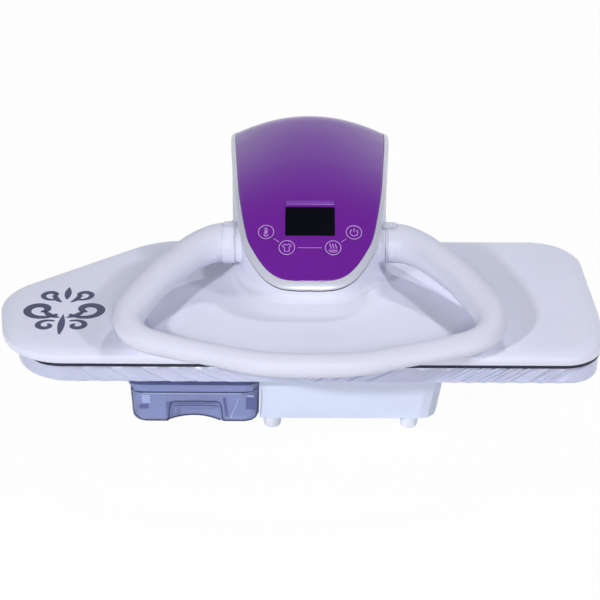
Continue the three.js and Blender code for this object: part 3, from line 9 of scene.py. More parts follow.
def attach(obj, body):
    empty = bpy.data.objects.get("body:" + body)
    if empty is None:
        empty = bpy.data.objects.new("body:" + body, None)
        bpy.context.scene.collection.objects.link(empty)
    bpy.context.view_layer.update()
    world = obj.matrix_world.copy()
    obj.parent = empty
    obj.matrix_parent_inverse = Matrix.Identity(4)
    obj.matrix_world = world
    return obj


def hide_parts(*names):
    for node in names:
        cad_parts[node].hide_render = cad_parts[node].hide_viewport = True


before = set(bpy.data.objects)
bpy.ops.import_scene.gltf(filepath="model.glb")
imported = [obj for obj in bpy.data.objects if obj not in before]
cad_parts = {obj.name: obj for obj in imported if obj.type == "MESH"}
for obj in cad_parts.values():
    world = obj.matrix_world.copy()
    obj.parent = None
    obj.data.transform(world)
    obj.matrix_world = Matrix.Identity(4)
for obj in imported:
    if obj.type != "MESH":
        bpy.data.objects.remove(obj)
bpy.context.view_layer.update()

# Sizes are millimetres here, as in the part's source, and metres in Blender
MM = 0.001

# Head and board
BOARD_FRONT = -150
HEAD_LENGTH = 659.3
HEAD_DEPTH = 274
HEAD_OVERHANG = 8
HEAD_BOTTOM = 101
RIM_HEIGHT = 13
PLATEAU_RISE = 16
CROWN_RISE = 33
SHELL_WALL = 2.5
PRESSING_HEIGHT = 95
BOARD_INSET = 10
BOARD_SHIFT = 6
BOARD_DEPTH = 22
COVER_EDGE = 5
COVER_LIP = 16
GATHER_DEPTH = 3.5
GATHER_PROUD = 1.4
SKIRT_WIDTH = 12
SEAT_FRONT = 76
SEAT_BACK = 236
SEAT_WIDTH_SHARE = 0.86
SEAT_POWER = 2.6
SEAT_HEIGHT = HEAD_BOTTOM + CROWN_RISE
SEAT_MIDDLE = BOARD_FRONT + (SEAT_FRONT + SEAT_BACK) / 2
HEAD_CORNER_SHARES = (
    (-0.497, 0, 0.27), (0.491, 0, 0.17), (0.5, 0.33, 1.45),
    (0.489, 1, 0.21), (-0.274, 1, 0.36), (-0.53, 0.5, 0.24),
)
CORNER_STEPS = 12
HEAD_EDGE_POINTS = (46, 4, 12, 30, 16, 2)
COVER_EDGE_POINTS = (560, 12, 24, 40, 24, 6)

# Control arm
HINGE_X = 11
ARM_LENGTH = 287.7
ARM_HALF_WIDTH = 94
ARM_RISE = 109.2
ARM_PLAN_SHARES = (
    (0, 0), (0, 0.16), (0.01, 0.36), (0.045, 0.54), (0.115, 0.71), (0.19, 0.81), (0.37, 0.9),
    (0.6, 0.95), (0.85, 0.985), (0.94, 0.94), (0.985, 0.82), (1, 0.62), (1, 0.3), (1, 0),
)
ARM_TOP_SHARES = (
    (0, 0.162), (0.02, 0.197), (0.15, 0.455), (0.24, 0.605), (0.35, 0.741), (0.48, 0.85), (0.61, 0.925),
    (0.74, 0.977), (0.82, 0.996), (0.875, 1), (0.92, 0.973), (0.96, 0.909), (1, 0.81),
)
ARM_CROWN_SHARE = 0.31
ARM_FRONT_CROWN_SHARE = 0.16
ARM_SAMPLES = 88
PANEL_INSET = 5.6
PANEL_THICKNESS = 2.5
PANEL_MIDDLE_SHARE = 0.55
TRIM_DROP = 7.5
TRIM_FADE_SHARE = 0.85
TRIM_LIP = 2
TRIM_INSET = 3
HOUSING_INSET = 1
HOUSING_WALL = 2.5
HOUSING_BOTTOM = 100
# Height of the dark band of painted shade in the gap under the trim
GAP_SHADE_HEIGHT = 0.7
SEAT_GAP = 0.3

# Base and tank
BASE_FRONT = -125
BASE_EDGE = (-43, -35.4)
BASE_EDGE_DEPTH = 9
BASE_EDGE_BOTTOM = 15
BASE_EDGE_TOP = 69.5
TANK_FRONT = -130
TANK_BOTTOM = 11
# How far the painted shade, highlights and reflection stand off the tank's clear front
TANK_MARK_LIFT = -0.1
GRIP_MIDDLE = -115.75
GRIP_WIDTH = 58
GRIP_DEPTH = 17
GRIP_EDGE_DEPTH = 6

# Controls
DISPLAY_BACK = 66
DISPLAY_WIDTH = 55
DISPLAY_HEIGHT = 39
KEY_RADIUS = 9.6
KEY_GAP = 0.4
KEY_PROUD = 0.4
KEY_SKIRT = 3.2
KEY_RING = 8.6
KEY_STROKE = 0.85
KEY_PLACES = {
    "heat_key": (-48.4, 54.5), "fabric_key": (-25.4, 37.5), "steam_key": (25.4, 37.5), "power_key": (48.4, 54.5),
}

# Handle
HUB_Y = 7
HUB_HEIGHT = 163.5
HUB_RADIUS = 22
HUB_FACE = 84
HUB_DEPTH = 7
WASHER_THICKNESS = 2.2
SHAFT_RADIUS = 6
SLEEVE_END = 97
CLIPS = (("left", -96, -75), ("right", 80, 96))
CLIP_HEIGHT = 0.9
HANDLE_HALF_WIDTH = 192
HANDLE_REACH = 207.5
FRONT_BAR_RISE = 24
HANDLE_FACE = HUB_FACE + WASHER_THICKNESS + SEAT_GAP * 2
HANDLE_PATH_SHARES = (
    (0.272, 0.985), (0.505, 0.928), (0.731, 0.869), (0.925, 0.797), (1.006, 0.68), (0.98, 0.54),
    (0.872, 0.335), (0.767, 0.197), (0.672, 0.087), (0.58, 0.022),
)
HANDLE_WIDTH_SHARES = (0.57, 0.565, 0.545, 0.555, 0.62, 0.755, 0.86, 0.85, 0.85, 0.89, 0.95, 1, 1)
HANDLE_THICK_SHARES = (0.61, 0.585, 0.55, 0.575, 0.64, 0.72, 0.76, 0.78, 0.82, 0.9, 0.96, 1, 1)
HANDLE_SIDES = 40
HANDLE_STEPS = 110

# Camera, as found from the photograph
IMAGE_SIDE = 600
FOCAL_PIXELS = 1963.3
SENSOR = 36
VIEW_ELEVATION = 28
VIEW_DISTANCE = 2200
VIEW_AIM = (0, -20, 110)
VIEW_ROLL = 0.3
OPTICAL_CENTRE = (299.7, 296.4)
CLIP_END = 60

# Light: the even part, and the room's colour in mirrors by the sine of the elevation, before and behind the object
SOFT_LIGHT = 0.08
LIGHT_TINT = (0.975, 0.985, 1.02)
FRONT_ROOM = (
    (0.0, (1, 1, 1)), (0.15, (1, 1, 1)), (0.3, (0.85, 0.85, 0.9)), (0.5, (0.4, 0.41, 0.5)),
    (0.85, (0.27, 0.29, 0.4)), (1.0, (0.2, 0.23, 0.38)),
)
BACK_ROOM = (
    (0.0, (0.86, 0.9, 1)), (0.55, (0.8, 0.86, 1)), (0.7, (0.62, 0.66, 0.9)), (0.88, (0.34, 0.37, 0.6)),
    (1.0, (0.2, 0.23, 0.38)),
)
SIDE_WALL = (0.3, 0.31, 0.46)
BACK_FROM = (-0.35, 0.5)
SIDE_FROM = (0.5, 0.9)
WHITE = (1, 1, 1, 1)
FLOOR_COLOR = (0.88, 0.88, 0.9, 1)
FLOOR_HALF = 12
FLOOR_PLAIN_SHARE = 0.97

# Lamps: azimuth, elevation, distance and sides in metres, power, and whether mirrors show it.
# Azimuth 0 stands before the object, on the operator's side, and 90 on its right.
LAMPS = {
    "key_left": (-37, 30, 2.2, (0.14, 0.14), 21, False),
    "key_right": (66, 38, 2.2, (0.16, 0.16), 13.5, False),
    "front": (3, 23, 2.4, (0.4, 0.3), 13, True),
    "back": (160, 51, 2.2, (0.12, 0.12), 13, False),
}
LAMP_AIM = (0, 0, 0.1)


def srgb(red, green, blue):
    """A colour given from 0 to 255 as linear values."""
    def linear(value):
        value /= 255
        return value / 12.92 if value <= 0.04045 else ((value + 0.055) / 1.055) ** 2.4
    return linear(red), linear(green), linear(blue), 1


def add_object(name, data):
    made = bpy.data.objects.new(name, data)
    bpy.context.scene.collection.objects.link(made)
    return made


# Camera, lights and floor

def make_camera():
    data = bpy.data.cameras.new("camera")
    data.sensor_width = SENSOR
    data.lens = SENSOR * FOCAL_PIXELS / IMAGE_SIDE
    data.shift_x = (IMAGE_SIDE / 2 - OPTICAL_CENTRE[0]) / IMAGE_SIDE
    data.shift_y = (OPTICAL_CENTRE[1] - IMAGE_SIDE / 2) / IMAGE_SIDE
    data.clip_end = CLIP_END
    camera = add_object("camera", data)
    rise = math.radians(VIEW_ELEVATION)
    back = Vector((0, -math.cos(rise), math.sin(rise))) * VIEW_DISTANCE
    turn = Matrix.Rotation(math.radians(90) - rise, 4, "X") @ Matrix.Rotation(math.radians(VIEW_ROLL), 4, "Z")
    camera.matrix_world = Matrix.Translation((Vector(VIEW_AIM) + back) * MM) @ turn
    bpy.context.scene.camera = camera


def make_lights():
    for name, (azimuth, elevation, distance, size, power, mirrored) in LAMPS.items():
        data = bpy.data.lights.new(name, "AREA")
        data.shape = "RECTANGLE"
        data.size, data.size_y = size
        data.energy = power
        data.color = LIGHT_TINT
        light = add_object(name, data)
        turn, rise = math.radians(azimuth), math.radians(elevation)
        toward = Vector((math.sin(turn) * math.cos(rise), -math.cos(turn) * math.cos(rise), math.sin(rise)))
        light.location = Vector(LAMP_AIM) + toward * distance
        light.rotation_euler = toward.to_track_quat("Z", "Y").to_euler()
        light.visible_glossy = mirrored


class Graph:
    """The nodes of a world or a material, added step by step."""

    def __init__(self, owner):
        owner.use_nodes = True
        self.nodes, self.links = owner.node_tree.nodes, owner.node_tree.links

    def put(self, socket, value):
        """Links an input to an output, or gives it a constant."""
        if isinstance(value, bpy.types.NodeSocket):
            self.links.new(value, socket)
        else:
            socket.default_value = value

    def node(self, kind, *sources, out=0, **values):
        """The output of a new node. Inputs come in their order or by name, settings by a name in small letters."""
        made = self.nodes.new("ShaderNode" + kind)
        for i, value in enumerate(sources):
            self.put(made.inputs[i], value)
        for name, value in values.items():
            if name.islower():
                setattr(made, name, value)
            else:
                self.put(made.inputs[name.replace("_", " ")], value)
        return made.outputs[out] if len(made.outputs) else None

    def reckoned(self, operation, *sources):
        return self.node("Math", *sources, operation=operation)

    def mixed(self, share, first, second):
        made = self.node("Mix", share, out=2, data_type="RGBA")
        self.put(made.node.inputs[6], first)
        self.put(made.node.inputs[7], second)
        return made

    def ranged(self, source, low=0, high=1, from_low=0.25, from_high=0.75, kind="LINEAR"):
        return self.node("MapRange", source, from_low, from_high, low, high, interpolation_type=kind)

    def split(self, source):
        return self.node("SeparateXYZ", source).node.outputs

    def stepped(self, source, steps):
        """A colour that follows steps of (place, colour) along a source from nought to one."""
        made = self.node("ValToRGB", source)
        row = made.node.color_ramp.elements
        for element, (place, color) in ((row[0], steps[0]), (row[1], steps[-1])):
            element.position, element.color = place, (*color, 1)
        for place, color in steps[1:-1]:
            row.new(place).color = (*color, 1)
        return made

    def background_rays(self):
        """One for camera, mirror and clear rays, nought for others."""
        rays = self.node("LightPath").node.outputs
        either = self.reckoned("MAXIMUM", rays["Is Camera Ray"], rays["Is Glossy Ray"])
        return self.reckoned("MAXIMUM", either, rays["Is Transmission Ray"])


def make_world():
    """Even soft light, plain white for the camera, and for mirror and clear rays a white room.

    The room is bright low down and behind, and dark above and aside.
    """
    world = bpy.data.worlds.new("studio")
    bpy.context.scene.world = world
    graph = Graph(world)
    graph.nodes.clear()
    x, y, z = graph.split(graph.node("TexCoord", out="Generated"))
    behind = graph.ranged(y, 0, 1, *BACK_FROM, "SMOOTHSTEP")
    aside = graph.ranged(graph.reckoned("ABSOLUTE", x), 0, 1, *SIDE_FROM, "SMOOTHSTEP")
    lengthwise = graph.mixed(behind, graph.stepped(z, FRONT_ROOM), graph.stepped(z, BACK_ROOM))
    room_color = graph.mixed(aside, lengthwise, (*SIDE_WALL, 1))
    soft = graph.node("Background", (*LIGHT_TINT, 1), SOFT_LIGHT)
    lit = graph.node("MixShader", graph.background_rays(), soft, graph.node("Background", room_color, 1))
    camera_rays = graph.node("LightPath", out="Is Camera Ray")
    graph.node("OutputWorld", graph.node("MixShader", camera_rays, lit, graph.node("Background", WHITE, 1)))


def make_floor():
    mesh = bpy.data.meshes.new("floor")
    corners = [(x * FLOOR_HALF, y * FLOOR_HALF, 0) for x, y in ((-1, -1), (1, -1), (1, 1), (-1, 1))]
    mesh.from_pydata(corners, [], [(0, 1, 2, 3)])
    floor = add_object("floor", mesh)
    white = bpy.data.materials.new("floor_white")
    graph = Graph(white)
    graph.nodes.clear()
    share = graph.reckoned("MULTIPLY", graph.background_rays(), FLOOR_PLAIN_SHARE)
    graph.node("OutputMaterial", graph.node("MixShader", share, graph.node("BsdfDiffuse", FLOOR_COLOR),
                                            graph.node("Emission", WHITE, 1)))
    mesh.materials.append(white)


# Materials

COAT_ROUGHNESS = 0.08
WEAVE_SCALE = 420


class Finish(Graph):
    """A material with one Principled shader, its colour given from 0 to 255."""

    def __init__(self, name, color, roughness):
        self.material = bpy.data.materials.new(name)
        super().__init__(self.material)
        self.shader = self.nodes["Principled BSDF"]
        self.color, self.roughness = srgb(*color), roughness
        self.place = self.node("TexCoord", out="Object")
        self.height = None
        self.set(Base_Color=self.color, Roughness=roughness)

    def set(self, **inputs):
        for name, value in inputs.items():
            self.put(self.shader.inputs[name.replace("_", " ")], value)
        return self

    def noise(self, scale, detail=3.0, stretch=None):
        place = self.node("Mapping", self.place, Scale=stretch) if stretch else self.place
        return self.node("TexNoise", place, Scale=scale, Detail=detail)

    def wave(self, place, direction, **inputs):
        return self.node("TexWave", place, out="Fac", bands_direction=direction, **inputs)

    def tint(self, source, other):
        """The base colour wanders to another one with the source."""
        return self.set(Base_Color=self.mixed(source, self.color, other))

    def worn(self, source, spread):
        """The roughness wanders by spread either way with the source."""
        return self.set(Roughness=self.ranged(source, self.roughness - spread, self.roughness + spread))

    def bump(self, source, strength, distance):
        """Raises the surface with the source. Further calls add to what is there."""
        made = self.node("Bump", Strength=strength, Distance=distance * MM, Height=source)
        if self.height:
            self.put(made.node.inputs["Normal"], self.height)
        self.height = made
        return self.set(Normal=made)


def mottled(name, color, roughness, flow, other, wear, spread, grain, strength, depth):
    """Colour, gloss and height that each follow a noise, given by its scale, detail and stretch.

    The colour wanders to another, or to a share of itself.
    """
    made = Finish(name, color, roughness)
    if isinstance(other, float):
        other = (*(channel * other for channel in made.color[:3]), 1)
    made.tint(made.ranged(made.noise(*flow)), other)
    made.worn(made.noise(*wear), spread)
    return made.bump(made.noise(*grain), strength, depth)


def moulded(name, color, roughness, grain=0.05, coat=0.0, spread=0.05):
    """Moulded plastic: a fine even grain, slightly mottled gloss and a trace of colour flow.

    A roughness range that crosses 0.27 shows its outline, so glossy finishes take a narrow spread.
    """
    made = mottled(name, color, roughness, (7,), 0.94, (45, 5), spread, (1600, 2), grain, 0.05)
    return made.bump(made.noise(14, 2), 0.08, 0.25).set(Coat_Weight=coat, Coat_Roughness=COAT_ROUGHNESS)


def metal(name, color, roughness, stretch):
    """Metal brushed or rolled along one direction, with faint blotches."""
    brushed = (260, 4, stretch)
    return mottled(name, color, roughness, (20,), 0.82, brushed, 0.09, brushed, 0.12, 0.06).set(Metallic=0.95)


def make_finishes():
    finishes = {
        "shell": moulded("shell_white", (232, 233, 248), 0.34, coat=0.25),
        "handle": moulded("handle_white", (226, 227, 241), 0.44),
        "housing": moulded("housing_white", (234, 236, 250), 0.5),
        "base": moulded("base_pale", (228, 236, 255), 0.42),
        "purple": moulded("panel_purple", (110, 12, 149), 0.24, grain=0.005, coat=0.7, spread=0.025),
        "print": moulded("print_lilac", (205, 160, 226), 0.4),
        # Lighter violet for the display's lip: a real lip, coloured with a painted reflection along it
        "lip": moulded("lip_violet_reflection", (128, 62, 172), 0.34, grain=0.01, coat=0.2),
        "trim": moulded("trim_silver", (224, 225, 232), 0.31, grain=0.005, coat=0.2, spread=0.025).set(Metallic=0.3),
        "window": mottled("window_black", (6, 6, 10), 0.12, (30,), srgb(10, 10, 16), (60,), 0.03, (900, 2), 0.01,
                          0.02).set(Specular_IOR_Level=0.1),
        "slate": moulded("ornament_slate", (56, 62, 92), 0.4),
        # The next three are marks on the tank's clear front: two darks of painted shade, and a pale of painted
        # highlight
        "edge_shade_blue": moulded("edge_shade_blue", (46, 52, 92), 0.34),
        "tank_shade": moulded("tank_shade_blue", (96, 102, 156), 0.34),
        "painted_highlight_blue": moulded("painted_highlight_blue", (172, 183, 228), 0.34),
        "dark": moulded("dark_plastic", (58, 60, 70), 0.5, grain=0.12),
        "steel": metal("steel_rolled", (176, 180, 188), 0.34, (1, 22, 22)),
        "spring": make_spring_finish(),
        "aluminium": metal("aluminium_sole", (200, 203, 209), 0.38, (1, 30, 1)),
        "foot": mottled("foot_rubber", (250, 252, 255), 0.72, (40,), srgb(232, 236, 252), (90,), 0.08, (700, 4), 0.25,
                        0.15),
        # Near-black for dark bands set into gaps: painted shade standing for the shade in those gaps
        "gap_shade": moulded("gap_shade_dark", (24, 24, 48), 0.6),
        "hose": moulded("hose_rubber", (40, 40, 46), 0.7, grain=0.2),
        "foam": make_foam_finish(),
        "insulation": mottled("insulation_board", (208, 203, 190), 0.9, (160, 6), srgb(172, 166, 150), (60,), 0.06,
                              (420, 6, (1, 3, 1)), 0.5, 0.4),
        "circuit": make_circuit_finish(),
        "tank": mottled("tank_smoky_clear", (188, 198, 240), 0.1, (9,), srgb(176, 186, 232), (70,), 0.03, (30, 3),
                        0.06, 0.3).set(Transmission_Weight=0.55, IOR=1.35),
        "cover": make_cover_finish(),
    }
    return {key: finish.material for key, finish in finishes.items()}


def make_spring_finish():
    made = Finish("spring_wire", (150, 154, 162), 0.36).set(Metallic=0.9)
    turns = made.wave(made.place, "X", Scale=62, Distortion=0)
    made.tint(made.ranged(turns), srgb(60, 62, 68))
    made.bump(turns, 1.0, 2.0)
    return made.worn(made.noise(120), 0.08)


def make_foam_finish():
    made = Finish("foam_open_cell", (226, 217, 186), 0.95)
    cells = made.node("TexVoronoi", made.place, Scale=900)
    made.tint(made.ranged(cells, 0, 1, 0, 0.6), srgb(180, 168, 134))
    made.bump(cells, 0.8, 0.6)
    return made.worn(made.noise(60), 0.04)


def make_circuit_finish():
    made = Finish("circuit_green", (28, 92, 58), 0.4)
    tracks = made.node("TexBrick", made.place, out="Fac", Scale=160, Mortar_Size=0.018)
    made.tint(tracks, srgb(120, 150, 84))
    made.bump(tracks, 0.4, 0.1)
    made.worn(made.noise(80), 0.08)
    return made.set(Coat_Weight=0.5)


def make_cover_finish():
    """Metallised cotton: a fine plain weave with a satin shine, crumpled a little."""
    made = Finish("cover_fabric", (208, 212, 236), 0.34)
    made.set(Metallic=0.25, Sheen_Weight=0.35, Sheen_Roughness=0.4)
    x, y, z = made.split(made.place)
    weave = made.node("CombineXYZ", x, made.reckoned("ADD", y, z))
    cross = made.reckoned("MULTIPLY", *(
        made.wave(weave, direction, Scale=WEAVE_SCALE, Distortion=0.6, Detail_Scale=40) for direction in ("X", "Y")))
    made.tint(made.ranged(made.noise(26, 5)), srgb(194, 198, 223))
    made.worn(made.noise(60, 4), 0.06)
    made.bump(made.noise(70, 3, (1, 0.5, 0.5)), 0.1, 0.8)
    return made.bump(cross, 0.1, 0.05)


SIDES = ("left", "right")
RAILS = tuple(f"tank_rail_{side}" for side in SIDES)
FEET = tuple(f"foot_{end}_{side}" for end in ("front", "rear") for side in SIDES)
SUPPORTS = tuple(f"board_support_{end}" for end in ("front", "rear"))
NODE_FINISHES = {
    "base": ("base_housing", *RAILS),
    "steel": ("base_bottom_plate", *SUPPORTS, "board_tray", "hinge_bracket", "hinge_pin", "link_pin", "press_arm",
              "heating_element", "handle_shaft", "handle_crank", "crank_pin", "pull_link",
              *(f"{kind}_{i}" for kind in ("arm_bolt", "base_screw") for i in range(1, 5))),
    "spring": tuple(f"hinge_spring_{side}" for side in SIDES),
    "aluminium": ("heating_plate",),
    "dark": ("water_pump", "tank_socket", "transformer", "display_module", "tank_valve", "filler_cap"),
    "hose": ("suction_hose", "pressure_hose", "cord_gland", "thermostat"),
    "foot": FEET,
    "foam": ("board_foam_pad",),
    "insulation": ("heat_shield",),
    "circuit": ("power_board", "control_board"),
    "tank": ("tank_cup", "tank_lid"),
    "cover": ("board_cover",),
    "shell": ("top_shell",),
    "handle": ("handle_loop",),
    "housing": ("arm_housing",),
    "trim": ("control_trim",),
    "purple": ("control_panel", *KEY_PLACES),
    "window": ("display_window",),
}
# Nodes whose edges are rounded a little, by the radius in millimetres
SOFT_EDGES = {
    1.5: ("water_pump",), 1.2: ("base_housing",), 1.0: ("transformer",), 0.6: (*FEET, "cord_gland"),
    0.5: (*RAILS, "hinge_bracket", "heating_plate", "hinge_pin"), 0.4: (*SUPPORTS, "handle_crank", "pull_link"),
}
NODE_SMOOTH_ANGLE = 34
CUT_SMOOTH_ANGLE = 38
SOFT_EDGE_ANGLE = 40


def smooth(mesh, angle):
    """Smooth shading, but for edges sharper than the angle in degrees."""
    for face in mesh.polygons:
        face.use_smooth = True
    mesh.set_sharp_from_angle(angle=math.radians(angle))


def dress_nodes():
    for key, names in NODE_FINISHES.items():
        for name in names:
            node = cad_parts[name]
            node.data.materials.clear()
            node.data.materials.append(FINISHES[key])
            smooth(node.data, NODE_SMOOTH_ANGLE)
    for radius, names in SOFT_EDGES.items():
        for name in names:
            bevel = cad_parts[name].modifiers.new("soft_edges", "BEVEL")
            bevel.width = radius * MM
            bevel.segments = 3
            bevel.limit_method = "ANGLE"
            bevel.angle_limit = math.radians(SOFT_EDGE_ANGLE)
            bevel.miter_outer = "MITER_ARC"


# Mesh tools

WELD = 0.002
RAY_HEIGHT = 400


def mesh_object(name, shape, weld=0.0):
    """An object from points in millimetres and faces, with its faces turned outwards."""
    points, faces = shape
    mesh = bpy.data.meshes.new(name)
    mesh.from_pydata([Vector(p) * MM for p in points], [], faces)
    mesh.validate()
    work = bmesh.new()
    work.from_mesh(mesh)
    if weld:
        bmesh.ops.remove_doubles(work, verts=work.verts, dist=weld * MM)
    bmesh.ops.recalc_face_normals(work, faces=work.faces)
    work.to_mesh(mesh)
    work.free()
    return add_object(name, mesh)


SLOTS = {finish: slot for slot, finishes in {
    "white_plastic": ("shell", "housing", "handle", "base"),
    "dark_plastic": ("gap_shade", "slate", "edge_shade_blue", "tank_shade", "painted_highlight_blue"),
    "silver_trim": ("trim", "print"), "purple_plastic": ("purple", "lip"),
    "black_window": ("window",), "cover_fabric": ("cover",),
}.items() for finish in finishes}


def make_piece(name, shape, finish, body="press_head", smooth_angle=40, slot=None):
    """A mesh piece that rides on a CAD body. Its slot, that of its finish unless one is given, is worked out but not
    given to the piece.
    """
    piece = mesh_object(name, shape, WELD)
    smooth(piece.data, smooth_angle)
    piece.data.materials.append(FINISHES[finish])
    slot = slot or SLOTS[finish]
    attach(piece, body)
    return piece


def clamped(value):
    return max(0.0, min(1.0, value))


def around(sides):
    """Cosine and sine at even steps round a circle."""
    angles = (2 * math.pi * i / sides for i in range(sides))
    return [(math.cos(a), math.sin(a)) for a in angles]


def loft(rings, closed=False, capped=True):
    """Points and faces of a body through rings of points; a cap is a fan about the ring's middle."""
    count, total = len(rings[0]), len(rings)
    points = [Vector(p) for ring in rings for p in ring]
    faces = []
    for r in range(total if closed else total - 1):
        here, there = r * count, (r + 1) % total * count
        for i in range(count):
            j = (i + 1) % count
            faces.append((here + i, here + j, there + j, there + i))
    if capped and not closed:
        for ring, start in ((rings[0], 0), (rings[-1], len(points) - count)):
            points.append(sum((Vector(p) for p in ring), Vector()) / count)
            middle = len(points) - 1
            faces.extend((start + i, start + (i + 1) % count, middle) for i in range(count))
    return points, faces


def band(ring, near, far, low, high):
    """A closed band of square section, through rings given by an inset or radius and a level."""
    return loft([ring(near, low), ring(near, high), ring(far, high), ring(far, low)], closed=True)


def box(x0, x1, y0, y1, z0, z1):
    points = [(x, y, z) for z in (z0, z1) for x, y in ((x0, y0), (x1, y0), (x1, y1), (x0, y1))]
    return points, [(3, 2, 1, 0), (4, 5, 6, 7), (0, 1, 5, 4), (1, 2, 6, 5), (2, 3, 7, 6), (3, 0, 4, 7)]


def cut_away(piece, *cutters):
    """Takes the cutters' volume out of a piece, applies all its modifiers and deletes the cutters."""
    for cutter in cutters:
        cut = piece.modifiers.new("cut", "BOOLEAN")
        cut.operation = "DIFFERENCE"
        cut.solver = "EXACT"
        cut.object = cutter
    bpy.context.view_layer.update()
    seen = piece.evaluated_get(bpy.context.evaluated_depsgraph_get())
    result = bpy.data.meshes.new_from_object(seen)
    piece.modifiers.clear()
    old = piece.data
    piece.data = result
    bpy.data.meshes.remove(old)
    for cutter in cutters:
        bpy.data.objects.remove(cutter)
    smooth(piece.data, CUT_SMOOTH_ANGLE)


def height_on(tree, x, y, missing=0):
    hit = tree.ray_cast(Vector((x, y, RAY_HEIGHT)), Vector((0, 0, -1)))[0]
    return hit.z if hit else missing


def spline(points, t):
    """Catmull-Rom curve through the points, t from 0 to 1, of any dimension."""
    last = len(points) - 1
    whole = min(int(last * t), last)
    w = last * t - whole
    near = [points[min(max(whole + k, 0), last)] for k in (-1, 0, 1, 2)]
    out = []
    for a, b, c, d in zip(*near):
        enter = (c - a) / 2
        leave = (d - b) / 2
        out.append((2 * b - 2 * c + enter + leave) * w ** 3 + (3 * c - 3 * b - 2 * enter - leave) * w ** 2
                   + enter * w + b)
    return out


def spline_rings(rings, between):
    """More rings on smooth curves through the given ones."""
    count = len(rings[0])
    total = (len(rings) - 1) * between
    columns = [[ring[i] for ring in rings] for i in range(count)]
    return [[spline(column, k / total) for column in columns] for k in range(total + 1)]


def evenly(points, count):
    """Points at even steps along an open line of points."""
    points = [Vector(p) for p in points]
    lengths = [0]
    for a, b in zip(points, points[1:]):
        lengths.append(lengths[-1] + (b - a).length)
    out, at = [], 0
    for k in range(count + 1):
        want = lengths[-1] * k / count
        while at < len(points) - 2 and lengths[at + 1] < want:
            at += 1
        span = max(lengths[at + 1] - lengths[at], 1e-9)
        out.append(points[at].lerp(points[at + 1], (want - lengths[at]) / span))
    return out


def rounded_outline(corners, inset=0.0, steps=CORNER_STEPS, edge_points=None):
    """An anticlockwise outline with rounded corners (x, y, radius), drawn in by inset."""
    edges = []
    for (x, y, _), (next_x, next_y, _) in zip(corners, corners[1:] + corners[:1]):
        along = Vector((next_x - x, next_y - y)).normalized()
        edges.append((Vector((x - along.y * inset, y + along.x * inset)), along))
    arcs = []
    for i, corner in enumerate(corners):
        before_start, before = edges[i - 1]
        after_start, after = edges[i]
        cross = before.x * after.y - before.y * after.x
        gap = after_start - before_start
        apex = before_start + before * ((gap.x * after.y - gap.y * after.x) / cross)
        radius = max(corner[2] - inset, corner[2] / 4)
        angle = math.acos(max(-1, min(1, before.dot(after))))
        tangent = apex - before * (radius * math.tan(angle / 2))
        centre = Vector((-before.y, before.x)) * radius + tangent
        first = math.atan2(tangent.y - centre.y, tangent.x - centre.x)
        arcs.append([centre + Vector((math.cos(first + angle * k / steps), math.sin(first + angle * k / steps)))
                     * radius for k in range(steps + 1)])
    outline = []
    for i, arc in enumerate(arcs):
        outline.extend(arc)
        extra = edge_points[i] if edge_points else 0
        following = arcs[(i + 1) % len(arcs)][0]
        outline.extend(arc[-1].lerp(following, (k + 1) / (extra + 1)) for k in range(extra))
    return outline


def head_outline(inset, edge_points=HEAD_EDGE_POINTS):
    corners = [(x * HEAD_LENGTH, y * HEAD_DEPTH, r * HEAD_DEPTH) for x, y, r in HEAD_CORNER_SHARES]
    plain = rounded_outline(corners, edge_points=edge_points)
    low, high = min(p.x for p in plain), max(p.x for p in plain)
    scale = HEAD_LENGTH / (high - low)
    front = BOARD_FRONT - HEAD_OVERHANG
    return [Vector(((p.x - (low + high) / 2) * scale, p.y + front))
            for p in rounded_outline(corners, inset, edge_points=edge_points)]


def at_height(outline, z):
    return [Vector((p.x, p.y, z)) for p in outline]


# Head shell

RIM_RING_SHARES = (
    (0.0036, 0, 0), (0, 0.25, 0), (0, 0.65, 0), (0.0146, 0.95, 0), (0.0438, 1, 0.7), (0.0949, 1, 1),
)
DOME_RING_SHARES = ((0.4, 0.1), (0.72, 0.3), (0.9, 0.58))
SKIRT_RISE = 0.5
RINGS_BETWEEN = 4
SHELL_OPENING_SHARE = 0.18
# The painted-shade ring under the rim: how far it draws in, where it fades at the left end, and its insets and levels
GAP_SHADE_DEEP = 14
GAP_SHADE_FADE = (272, 306)
RIM_GAP_SHADE = (2.2, 6.5, 0.15, 4.3)
LINK_SLOT = (HINGE_X - 7, HINGE_X + 7, 50, 102, 122, 140)


def seat_edge(toward, grow):
    """Where a ray from the seat's middle towards a point leaves the control arm's seat."""
    middle = Vector((HINGE_X, SEAT_MIDDLE))
    along = (Vector((toward.x, toward.y)) - middle).normalized()
    half_x = ARM_HALF_WIDTH * SEAT_WIDTH_SHARE + grow
    half_y = (SEAT_BACK - SEAT_FRONT) / 2 + grow
    spread = abs(along.x / half_x) ** SEAT_POWER + abs(along.y / half_y) ** SEAT_POWER
    return middle + along * spread ** (-1 / SEAT_POWER)


